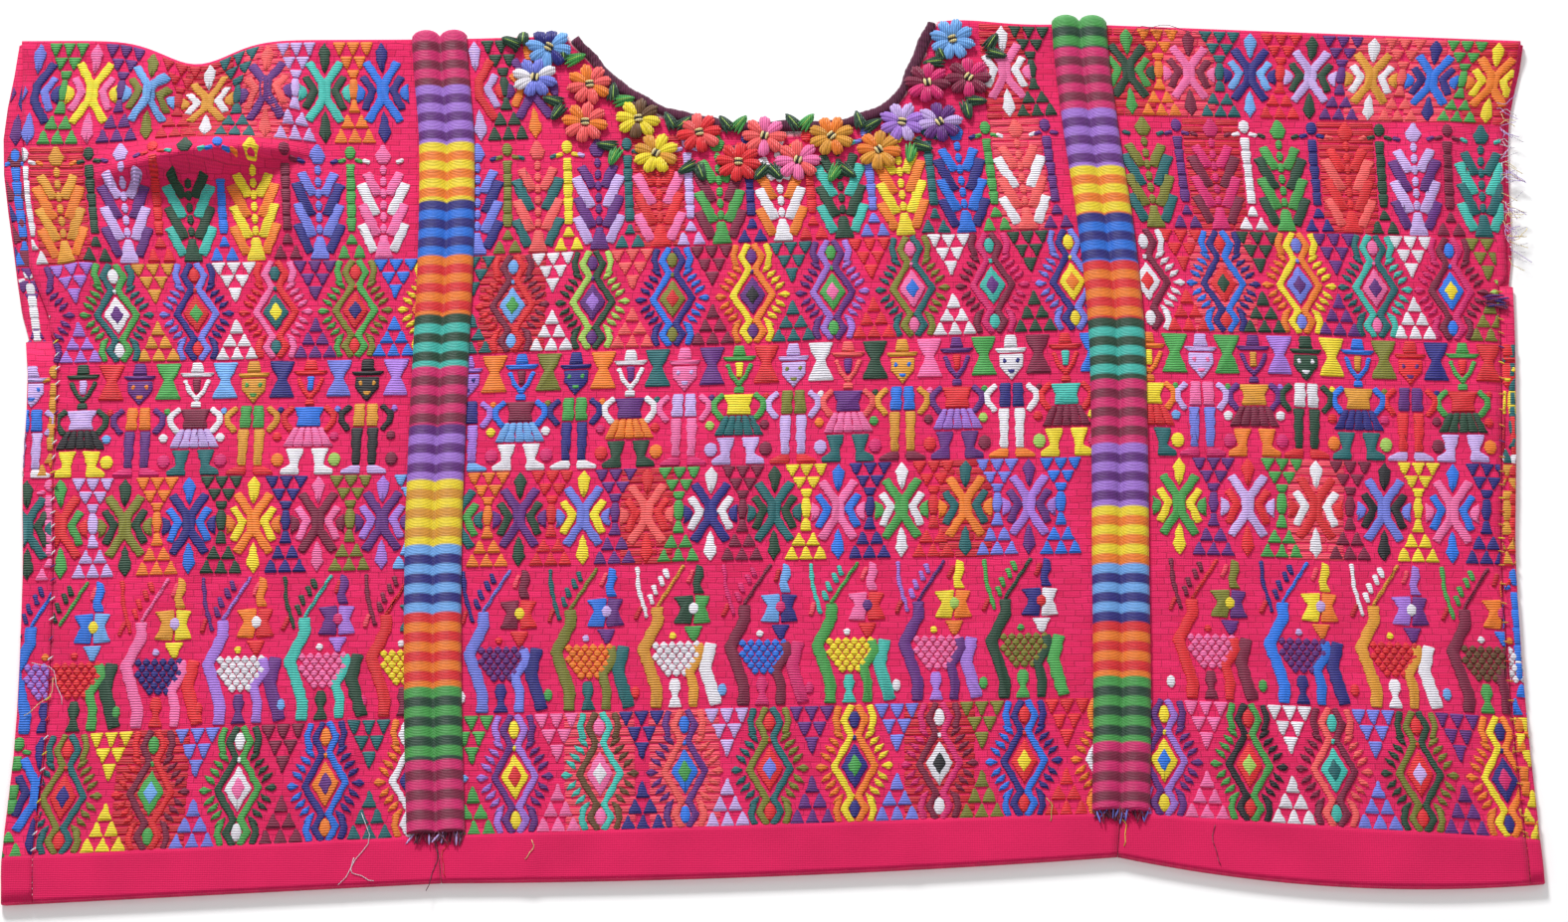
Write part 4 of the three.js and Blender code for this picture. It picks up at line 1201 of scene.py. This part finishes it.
# %% The rows of the front
ROWS = [
    {
        "name": "crosses_upper", "line": 7, "motifs": (cross, hourglass), "heights": (62, 58, 50),
        "left": (-382.1, 29.65, """
            navy/periwinkle green yellow/pink purple sky/olive crimson gold/white* teal purple/salmon+
            lavender turquoise/bottle orange blue/navy"""),
        "centre": (-156.1, 27.87, "red/lavender bottle purple/orange"),
        "centre end": (112.6, 27.87, "pink/white* bottle"),
        "right": (175.7, 30.86, """
            bottle/green* orange pink/burgundy+ teal navy/sky red lavender/bottle purple gold/white+
            salmon blue/navy+ green orange/yellow*"""),
    },
    {
        "name": "trees", "line": 6, "motifs": (plant, tree), "heights": (65, 65, 65),
        "left": (-398.0, 32.65, """
            gold white gold/orange* bottle lavender/purple red bottle/turquoise blue yellow/orange
            burgundy periwinkle/navy green pink/white"""),
        "centre": (-154.7, 30.52, """
            periwinkle/navy olive salmon/teal yellow purple/lavender teal red/pink* lavender
            green/burgundy navy white/orange red bottle/turquoise periwinkle yellow/orange teal
            blue/navy green salmon/white+ purple"""),
        "right": (184.4, 33.64, """
            olive/teal purple magenta/burgundy* white green/bottle navy red/salmon* bottle
            lavender/purple burgundy teal/turquoise"""),
    },
    {
        "name": "diamonds_upper", "line": 5, "motifs": (diamond, steps), "heights": (57, 57, 57),
        "left": (-373.4, 39.73, """
            purple/lilac/white/red lilac teal/green/white/purple gold navy/periwinkle/red/green white
            pink/red/teal/yellow purple olive/green/red/navy blue orange/yellow/purple/white"""),
        "centre": (-176.0, 40.06, """
            orange/yellow/purple/white teal burgundy/red/sky/green* white lime/bottle/purple/lilac
            salmon blue/navy/olive/red burgundy yellow/orange/purple/black teal lilac/purple/green/pink
            red olive/teal/pink/blue white magenta/burgundy/turquoise/purple bottle
            navy/periwinkle/yellow/orange"""),
        "right": (182.2, 38.01, """
            white/burgundy/white/red red navy/blue/red/bottle+ bottle yellow/orange/periwinkle/purple
            purple turquoise/teal/pink/purple white burgundy/magenta/blue/yellow olive
            green/lime/red/navy"""),
    },
    {
        "name": "figures", "line": 4, "motifs": (None, small_hourglass), "heights": (67, 67, 67),
        "left": (-348.3, 28.17, """
            bottle/lavender/black/yellow red purple/orange green white/burgundy/lavender/teal sky
            gold/green navy red/blue/pink/white periwinkle black/gold lilac"""),
        "centre": (-158.0, 27.11, """
            lilac/navy orange blue/burgundy/sky/white olive navy/green orange white/purple/orange/bottle
            teal pink/lavender purple green/yellow/teal/lavender red lavender/olive white
            salmon/purple/pink/teal bottle gold/blue pink purple/red/lilac/purple green white/navy
            burgundy red/turquoise/burgundy/yellow blue"""),
        "right": (181.7, 25.89, """
            orange/yellow/red/teal green lavender/pink/periwinkle green purple/gold/burgundy/orange
            lilac bottle/white yellow blue/gold/navy/teal olive red/purple navy
            green/red/bottle/lavender red"""),
    },
    {
        "name": "crosses_lower", "line": 3, "motifs": (cross, hourglass), "heights": (54, 54, 54),
        "left": (-355.6, 31.56, """
            red/green lavender olive/bottle orange navy/blue bottle orange/yellow navy burgundy/pink
            olive purple/lilac sky"""),
        "centre": (-161.6, 31.36, """
            teal/green orange purple/bottle red periwinkle/yellow purple salmon/red* green navy/white
            burgundy teal/bottle yellow pink/blue navy green/white red orange/teal* periwinkle
            lilac/purple blue"""),
        "right": (194.7, 33.55, """
            green/yellow purple lavender/red green red/white+ burgundy periwinkle/black yellow pink/blue
            navy"""),
    },
    {
        "name": "deer", "line": 2, "motifs": (deer, bird), "heights": (78, 78, 78),
        "left": (-344.4, 39.73, """
            green/bottle/red blue/sky pink/red/navy gold/yellow lilac/purple/white orange/red
            turquoise/bottle/pink purple/lilac red/burgundy/yellow teal/green"""),
        "centre": (-138.0, 42.41, """
            periwinkle/navy/purple burgundy/red olive/teal/orange blue/purple gold/white/white
            bottle/green burgundy/magenta/blue sky/navy green/turquoise/yellow pink/red
            purple/lilac/pink yellow/orange bottle/green/olive navy/white"""),
        "right": (207.7, 44.34, """
            red/burgundy/pink olive/purple blue/navy/purple yellow/orange gold/white/red lilac/purple
            burgundy/green/brown orange/blue"""),
    },
    {
        "name": "diamonds_lower", "line": 1, "motifs": (diamond, steps), "heights": (63, 63, 63),
        "left": (-347.0, 42.0, """
            olive/teal/red/navy yellow burgundy/red/green/sky* periwinkle bottle/green/white/pink
            burgundy navy/blue/orange/purple teal white/orange/navy/red"""),
        "centre": (-170.8, 40.97, """
            sky/navy/red/white green purple/lilac/yellow/red pink brown/turquoise/pink/white+ navy
            salmon/purple/blue/green+ lavender olive/teal/red/periwinkle purple yellow/orange/navy/green
            periwinkle burgundy/magenta/white/black* olive navy/blue/red/yellow red
            white/orange/purple/teal"""),
        "right": (183.6, 40.94, """
            purple/lilac/yellow/blue pink black/green/red/lime white salmon/burgundy/turquoise/teal
            periwinkle olive/bottle/red/lavender purple yellow/orange/navy/magenta"""),
    },
]


COURSE = 4.4  # height of one course of a field
FIELD_REACH = 0.42  # half of its width, as a share of the pitch
FIELDS = {"*": "crimson", "+": "rose"}  # marks of a motif that stands on a thin field of its own colour


def lay_field(weave, half, thread):
    """Courses of low blocks behind a motif"""
    count = round(weave.height / COURSE)
    for k in range(count):
        low, high = (k + 0.06) / count, (k + 0.94) / count
        cuts = [-half, half * (weave.rng.random() - 0.5), half]
        for west, east in zip(cuts, cuts[1:]):
            places = [(west + 0.1, low), (east - 0.1, low), (east - 0.1, high), (west + 0.1, high)]
            weave.block(places, thread, -0.5)


def draw_row(weave, motifs, start, pitch, threads):
    """Draws the motifs of a row in turn, half a pitch apart"""
    for k, entry in enumerate(threads.split()):
        weave.middle = start + pitch / 2 * k
        if entry[-1] in FIELDS and weave.front:
            lay_field(weave, pitch * FIELD_REACH, FIELDS[entry[-1]])
        names = entry.strip("*+").split("/")
        motif = motifs[k % 2]
        if motif is None:
            motif = girl if len(names) == 4 else boy
        motif(weave, *names)


print(len(ROWS), "rows")

# %% [markdown]
# The outlines of a row become one mesh. First each outline is made ragged, a step to every other turn of the
# thread, because the weaver turns round a different warp each time. The polygons are laid flat and cut off at
# the edges of their length. Then extrude raises them, an inset rounds the top, and each point is carried from
# the flat drawing to the cloth.

# %% From outlines to pads
TURN = 2.1  # millimetres along an edge between two steps of it
RAGGED = 0.3
BLUNT = 0.55
INSET = 0.5


def ragged(outline, rng, turn, stray):
    """An outline with blunt corners and small steps along its edges"""
    found = []
    for (x0, y0), (x1, y1) in zip(outline, outline[1:] + outline[:1]):
        length = math.hypot(x1 - x0, y1 - y0)
        blunt = min(BLUNT, length / 3) / length
        count = max(1, round(length * (1 - 2 * blunt) / turn))
        for k in range(count + 1):
            t = blunt + (1 - 2 * blunt) * k / count
            step = stray * (rng.random() - 0.5) * 2 if 0 < k < count else 0
            found.append((x0 + (x1 - x0) * t + step, y0 + (y1 - y0) * t + step * 0.3))
    return found


def carry(weave, flat):
    """Points of the flat drawing (x, y up the row, height above the weave), carried to the cloth"""
    stray = WANDER * np.sin(2.3 * flat[:, 1] + 0.7 * flat[:, 0])
    line = weave.line + flat[:, 1] / weave.height
    line = np.clip(line, weave.line + 0.004, weave.line + 0.996)
    west, east = edges_of(weave.name, np.full(len(line), weave.line + 0.5))
    share = (flat[:, 0] + stray - west) / (east - west)
    west, east = edges_of(weave.name, line)
    x = west + share * (east - west)
    if weave.front:
        return front_points(weave.name, line, x, flat[:, 2] - PILE)
    y = line_y(weave.name, line, x)
    rise = flat[:, 2] * UNDER_SHARE
    height = PILE - rise if weave.inside is None else weave.inside + rise
    return np.stack([x, y, height], axis=-1)


def is_hollow(outline):
    """Whether a polygon turns both ways"""
    turns = set()
    for a, b, c in zip(outline, outline[1:] + outline[:1], outline[2:] + outline[:2]):
        turns.add((b[0] - a[0]) * (c[1] - b[1]) - (b[1] - a[1]) * (c[0] - b[0]) > 0)
    return len(turns) > 1


def raise_pads(weave, skip=None):
    """One bmesh with every pad of one row on one length"""
    shape = bmesh.new()
    dye = dye_layer(shape)
    stray, turn = (RAGGED, TURN) if weave.front else (0.0, 3 * TURN)
    for outline, thread, lift in weave.pads:
        if skip and skip(weave, outline):
            continue
        colour = tinted(thread, weave.rng, 0.10)
        base = lift - PAD_ROOT + 0.06 * weave.rng.random()
        verts = [shape.verts.new((x, y, base)) for x, y in ragged(outline, weave.rng, turn, stray)]
        for vert in verts:
            vert[dye] = (*colour, 1.0)
        shape.faces.new(verts).material_index = int(is_hollow(outline))
    for limit, outward in zip(weave.clip, (-1, 1)):
        everything = [*shape.verts, *shape.edges, *shape.faces]
        bmesh.ops.bisect_plane(shape, geom=everything, plane_co=(limit, 0, 0), plane_no=(outward, 0, 0),
                               clear_outer=True)
    for face in shape.faces:
        face.normal_update()
        if face.normal.z < 0:
            face.normal_flip()
    made = bmesh.ops.extrude_face_region(shape, geom=list(shape.faces), use_keep_orig=True)
    tops = [g for g in made["geom"] if isinstance(g, bmesh.types.BMFace)]
    ups = [g for g in made["geom"] if isinstance(g, bmesh.types.BMVert)]
    bmesh.ops.translate(shape, vec=(0, 0, PAD_ROOT + PAD_RISE - PAD_CROWN), verts=ups)
    bmesh.ops.inset_individual(shape, faces=tops, thickness=INSET, depth=PAD_CROWN, use_even_offset=False)
    bmesh.ops.poke(shape, faces=[face for face in tops if face.material_index == 0])
    for face in shape.faces:
        face.material_index = 0
    bmesh.ops.recalc_face_normals(shape, faces=shape.faces)
    points = metres(carry(weave, np.array([v.co for v in shape.verts])))
    for vert, point in zip(shape.verts, points):
        vert.co = point
    if not weave.front and weave.inside is None:
        bmesh.ops.reverse_faces(shape, faces=shape.faces)
    return shape


def length_clip(name, line, front):
    """Where the brocade of a length ends, in x at the middle of a row"""
    west, east = edges_of(name, line + 0.5)
    if name == "left":
        return west + side_inset("left", line + 0.5, front) + 0.6, east - SEAM_COVER
    if name == "right":
        return west + SEAM_COVER, east - side_inset("right", line + 0.5, front) - 0.6
    return west + SEAM_COVER, east - SEAM_COVER


NECK_POINTS, NECK_NORMALS = neckline()
STEEP = 2.2  # a rise of the tuck over 3 mm, above which the cloth is folded under itself


def neck_depth(x, y):
    """Distance from the neckline, above zero in the hole"""
    away = np.hypot(NECK_POINTS[:, 0] - x, NECK_POINTS[:, 1] - y)
    k = int(np.argmin(away))
    return -float((np.array([x, y]) - NECK_POINTS[k]) @ NECK_NORMALS[k])


def is_hidden(weave, outline):
    """Whether an outline reaches into the neck, or lies on the side of the tuck that is folded under"""
    x = sum(p[0] for p in outline) / len(outline)
    y = line_y(weave.name, weave.line + sum(p[1] for p in outline) / len(outline) / weave.height, x)
    if weave.name == "centre":
        return neck_depth(x, y) > -EDGING_WIDTH - 1
    rise = fold_height(CREASES[0], x, y + 1.5) - fold_height(CREASES[0], x, y - 1.5)
    return weave.front and rise > STEEP


def join(shapes):
    whole = bmesh.new()
    dye_layer(whole)
    for shape in shapes:
        part = bpy.data.meshes.new("part")
        shape.to_mesh(part)
        shape.free()
        whole.from_mesh(part)
        bpy.data.meshes.remove(part)
    return whole


def other_order(threads):
    """The threads of a row turned round, for main and for small motifs apart"""
    entries = threads.split()
    entries[0::2] = entries[0::2][::-1]
    entries[1::2] = entries[1::2][::-1]
    return " ".join(entries)


def make_row(row, seed, front):
    shapes = []
    for key in ("left", "centre", "centre end", "right"):
        if key not in row or (key == "centre end" and not front):
            continue
        name = key.split()[0]
        height = row["heights"][("left", "centre", "right").index(name)]
        weave = Brocade(name, row["line"], height, front, length_clip(name, row["line"], front), seed)
        start, pitch, threads = row[key]
        if not front:
            threads = other_order(threads)
        draw_row(weave, row["motifs"], start, pitch, threads)
        shapes.append(raise_pads(weave, is_hidden))
    piece = finish_piece(join(shapes), f"{'front' if front else 'back'}_{row['name']}", BROCADE)
    print(piece.name, triangles(piece), "triangles")
    return piece


brocade = [make_row(row, seed, True) for seed, row in enumerate(ROWS, 21)]

# %% [markdown]
# The back has the same rows, in other colours. They are pressed flat by the weight of the blouse, so they are
# simpler. Only a strip of the back shows from above: its edges, where they curl round to the front.

# %% The underside and the side flaps
FLAP_MOTIFS = {
    "left": [
        (1, (tree, "green"), (cross, "blue", "navy")),
        (2, (bird, "orange", "yellow"), (deer, "blue", "navy", "lilac")),
        (3, (cross, "teal", "bottle"), (tree, "pink")),
        (4, (boy, "lavender", "blue"), (tree, "gold")),
    ],
    "right": [
        (1, (tree, "orange"), (steps, "yellow")),
        (2, (deer, "red", "orange", "white"), (tree, "blue")),
        (3, (hourglass, "gold"), (tree, "red")),
        (4, (boy, "red", "yellow"), (tree, "teal")),
    ],
}
PEEK_MOTIFS = [
    (7, cross, "navy", "purple"), (6, tree, "blue"), (6, plant, "burgundy", "navy"),
    (5, steps, "purple"), (5, tree, "white"),
]
PEEK_REACH = 20
SIDE_ROW_HEIGHT = 66


def make_flap_brocade(name):
    """Half motifs on the strip of the back that is folded to the front"""
    shapes = []
    for line, *motifs in FLAP_MOTIFS[name]:
        west, east = edges_of(name, line + 0.5)
        flap = SIDES[name]["flap"]
        clip = (west + 0.4, west + flap - 0.4) if name == "left" else (east - flap + 0.4, east - 0.4)
        weave = Brocade(name, line, SIDE_ROW_HEIGHT, True, clip, line)
        for k, (motif, *threads) in enumerate(motifs):
            weave.middle = clip[k] + (2 if k == 0 else -1)
            motif(weave, *threads)
        shapes.append(raise_pads(weave))
    return finish_piece(join(shapes), f"{name}_flap_brocade", BROCADE)


def make_peek_brocade():
    """The back's own brocade where it shows past the front, above the left arm opening"""
    shapes = []
    for line, motif, *threads in PEEK_MOTIFS:
        west, _ = edges_of("left", line + 0.5)
        weave = Brocade("left", line, SIDE_ROW_HEIGHT, False, (west + 0.8, west + PEEK_REACH), line)
        weave.inside = PILE + CLOTH
        weave.middle = west + 6
        motif(weave, *threads)
        shapes.append(raise_pads(weave))
    return finish_piece(join(shapes), "left_peek_brocade", BROCADE)


flap_brocade = [*[make_flap_brocade(name) for name in ("left", "right")], make_peek_brocade()]
back_brocade = [make_row(row, seed, False) for seed, row in enumerate(ROWS, 41)]

# %% [markdown]
# ## Seams, tufts and loose threads
#
# A worn blouse is held together by small hand stitches, and has ends of thread that escaped them. Stitches and
# tufts are short spindles of floss. Loose threads are curves with a round bevel, turned into meshes.

# %% Side seams, tacks and tufts
FIRST_STITCH = 0.15  # the row line at which a side seam begins
STITCH_PITCH = 0.13  # in row lines
TACK_AT = (352, 84)
TACK_STITCHES = 16
TUFT_ENDS = 34  # under each randa


def cloth_spindle(shape, dye, name, x, y, turn, length, width, lift, thread):
    """A short stitch on the front of a length"""
    made = bmesh.ops.create_uvsphere(shape, u_segments=6, v_segments=5, radius=1.0)
    local = np.array([v.co for v in made["verts"]])
    along_it, across = local[:, 2] * length / 2, local[:, 0] * width / 2
    at_x = x + along_it * math.cos(turn) - across * math.sin(turn)
    at_y = y + along_it * math.sin(turn) + across * math.cos(turn)
    top = front_top(name, HEM_LINE, at_x, at_y)
    points = np.stack([at_x, at_y, top + lift + local[:, 1] * width / 2], axis=-1)
    for vert, point in zip(made["verts"], metres(points)):
        vert.co = point
        vert[dye] = (*thread, 1.0)


def sew_sides(shape, dye, rng):
    """Small slanted stitches along the side seams, below the arm openings"""
    for name, sign, thread in (("left", 1, "white"), ("right", -1, "gold")):
        facts = SIDES[name]
        for line in np.arange(FIRST_STITCH, facts["opening"], STITCH_PITCH):
            rim = edges_of(name, line)[0 if name == "left" else 1]
            x = float(rim + sign * (facts["flap"] + GAP / 2))
            y = float(line_y(name, line, x))
            colour = tinted(thread if rng.random() < 0.7 else rng.choice(("red", "yellow", "purple")), rng)
            cloth_spindle(shape, dye, name, x, y, 0.5 * sign + 0.5 * rng.random(), 3.6, 0.8, 0.2, colour)


def tack_opening(shape, dye, rng):
    """The bar tack at the foot of the right arm opening"""
    for _ in range(TACK_STITCHES):
        thread = tinted(rng.choice(("purple", "navy", "burgundy")), rng)
        x = TACK_AT[0] + 7 * rng.random()
        y = TACK_AT[1] + 9 * rng.random()
        turn = rng.random() * 0.6 - 0.3
        length = 9 + 4 * rng.random()
        cloth_spindle(shape, dye, "right", x, y, turn, length, 1.1, 0.4 + 0.5 * rng.random(), thread)


def add_tufts(shape, dye, rng):
    """The short ends of floss under the randas"""
    for seam, west, thread in (("left seam", "left", "lavender"), ("right seam", "centre", "periwinkle")):
        middle = along(EDGES[seam]["x"], HEM_LINE)
        for _ in range(TUFT_ENDS):
            x = float(middle + (rng.random() - 0.5) * 26)
            y = float(line_y(west, HEM_LINE, x)) + 0.5 - 3 * rng.random()
            turn = math.pi / 2 + (rng.random() - 0.5) * 1.4
            length = 5 + 3 * rng.random()
            lift = 0.8 + 1.6 * rng.random()
            colour = tinted(rng.choice((thread, "burgundy", "plum")), rng)
            cloth_spindle(shape, dye, west, x, y, turn, length, 1.0, lift, colour)


def make_stitches():
    rng = random.Random(31)
    shape = bmesh.new()
    dye = dye_layer(shape)
    for work in (sew_sides, tack_opening, add_tufts):
        work(shape, dye, rng)
    return finish_piece(shape, "seam_stitches", FLOWER_FLOSS)


seam_stitches = make_stitches()
print("Stitches and tufts:", triangles(seam_stitches), "triangles")

# %% [markdown]
# Ends of thread lie at the hem, at the shoulder and at the left opening. One is bent sideways between two
# points by its sway and keeps to the cloth under it. At the right edge a fringe of fine fibres has come loose.

# %% Loose threads
THREAD_RADIUS = 0.19
THREAD_POINTS = 9
FIBRES = 60
LOOSE_THREADS = [
    {"from": (-203, -189), "to": (-213, -226), "sway": 7, "thread": "white"},
    {"from": (-206, -212), "to": (-196, -224), "sway": -5, "thread": "white"},
    {"from": (-121, -203), "to": (-124, -213), "sway": 2, "thread": "cream"},
    {"from": (-168, -203), "to": (-171, -229), "sway": 3, "thread": "plum"},
    {"from": (-160, -204), "to": (-162, -222), "sway": -3, "thread": "red"},
    {"from": (160, -190), "to": (163, -206), "sway": 3, "thread": "yellow"},
    {"from": (207, -195), "to": (209, -216), "sway": -2, "thread": "burgundy"},
    {"from": (176, 238), "to": (198, 243), "sway": 5, "thread": "burgundy"},
    {"from": (184, 243), "to": (216, 239), "sway": 4, "thread": "plum"},
    {"from": (-366, -110), "to": (-350, -132), "sway": 6, "thread": "white"},
    {"from": (-355, -118), "to": (-368, -138), "sway": 4, "thread": "cream"},
    {"from": (126, -181), "to": (128, -193), "sway": 2, "thread": "lime"},
]


def frayed(rng):
    """Fibres at the right edge beside the shoulder"""
    found = []
    for _ in range(FIBRES):
        y = 110 + 92 * rng.random()
        x = 365 + 3 * rng.random()
        end = (x + 1 + 7 * rng.random(), y + 15 * (rng.random() - 0.5))
        sway = 5 * (rng.random() - 0.5)
        thread = rng.choice(("white", "cream", "lavender"))
        found.append({"from": (x - 3, y), "to": end, "sway": sway, "thread": thread})
    return found


def make_loose_threads():
    rng = random.Random(17)
    shapes = []
    for facts in LOOSE_THREADS + frayed(rng):
        (x0, y0), (x1, y1) = facts["from"], facts["to"]
        name = "left" if x0 < -172 else "centre" if x0 < 160 else "right"
        curve = bpy.data.curves.new("thread", "CURVE")
        curve.dimensions = "3D"
        curve.bevel_depth = THREAD_RADIUS * MM
        curve.bevel_resolution = 0
        spline = curve.splines.new("POLY")
        spline.points.add(THREAD_POINTS - 1)
        length = math.hypot(x1 - x0, y1 - y0)
        for k, point in enumerate(spline.points):
            t = k / (THREAD_POINTS - 1)
            bow = facts["sway"] * math.sin(math.pi * t) * (1 + 0.4 * math.sin(7 * t))
            x = x0 + (x1 - x0) * t - (y1 - y0) / length * bow
            y = y0 + (y1 - y0) * t + (x1 - x0) / length * bow
            flat_y = min(y, float(line_y(name, SHOULDER, x)))
            z = float(front_top(name, 0.5, x, flat_y)) + 0.3
            point.co = (*metres([x, y, z]), 1.0)
        holder = bpy.data.objects.new("thread", curve)
        mesh = bpy.data.meshes.new_from_object(holder)
        bpy.data.objects.remove(holder)
        shape = bmesh.new()
        shape.from_mesh(mesh)
        dye = dye_layer(shape)
        for vert in shape.verts:
            vert[dye] = (*THREADS[facts["thread"]], 1.0)
        bmesh.ops.holes_fill(shape, edges=[e for e in shape.edges if e.is_boundary], sides=0)
        shapes.append(shape)
    return finish_piece(join(shapes), "loose_threads", EDGING_FLOSS)


loose_threads = make_loose_threads()
print("Loose threads:", triangles(loose_threads), "triangles")

# %% [markdown]
# ## The floor, light and camera
#
# The blouse lies on a white ground under broad, soft light. The camera looks down steeply, from far off, with
# a long lens.

# %% Floor and light
FLOOR_SIZE = 12.0
LAMPS = [("window", (-0.8, 2.7, 1.5), 0.7, 125.0), ("room", (1.4, -1.6, 2.6), 2.4, 10.0)]  # at, size, power
SKY_STRENGTH = 0.55


def make_floor():
    shape = bmesh.new()
    bmesh.ops.create_grid(shape, x_segments=2, y_segments=2, size=FLOOR_SIZE / 2)
    mesh = bpy.data.meshes.new("floor")
    shape.to_mesh(mesh)
    shape.free()
    paper = Recipe("white ground", 0.9)
    mesh.materials.append(paper.finish(paper.mix((0.93, 0.93, 0.94), (0.97, 0.97, 0.97), paper.noise(3.0))))
    floor = bpy.data.objects.new("floor", mesh)
    bpy.context.scene.collection.objects.link(floor)
    return floor


def area_light(name, at, towards, size, power):
    light = bpy.data.lights.new(name, "AREA")
    light.shape = "DISK"
    light.size = size
    light.energy = power
    lamp = bpy.data.objects.new(name, light)
    lamp.location = at
    lamp.rotation_euler = (Vector(towards) - Vector(at)).to_track_quat("-Z", "Y").to_euler()
    bpy.context.scene.collection.objects.link(lamp)
    return lamp


floor = make_floor()
for name, at, size, power in LAMPS:
    area_light(name, at, (0, 0, 0), size, power)
world = bpy.data.worlds.new("soft room")
world.use_nodes = True
sky = world.node_tree.nodes["Background"].inputs
sky["Color"].default_value = (1.0, 1.0, 1.0, 1.0)
sky["Strength"].default_value = SKY_STRENGTH
bpy.context.scene.world = world
bpy.context.scene.view_settings.view_transform = "Standard"
print(len(LAMPS), "lamps over a floor of", FLOOR_SIZE, "metres")

# %% [markdown]
# The camera's distance, height and focal length were worked out from the two lengths that are known: the
# width between the side seams and the height from hem to shoulder.

# %% Camera
LOOK_AT = Vector((0.009, -0.009133, 0.0025))
CAMERA_DISTANCE = 3.0
CAMERA_ELEVATION = 64.2
PHOTO_WIDTH = 1576
FOCAL_PIXELS = 6100
SENSOR = 36.0

camera_data = bpy.data.cameras.new("camera")
camera_data.sensor_width = SENSOR
camera_data.lens = SENSOR * FOCAL_PIXELS / PHOTO_WIDTH
camera = bpy.data.objects.new("camera", camera_data)
rise = math.radians(CAMERA_ELEVATION)
camera.location = LOOK_AT + CAMERA_DISTANCE * Vector((0, -math.cos(rise), math.sin(rise)))
camera.rotation_euler = (LOOK_AT - camera.location).to_track_quat("-Z", "Y").to_euler()
bpy.context.scene.collection.objects.link(camera)
bpy.context.scene.camera = camera
print("The camera stands at", [round(v, 3) for v in camera.location])

# %% Update the scene
bpy.context.view_layer.update()
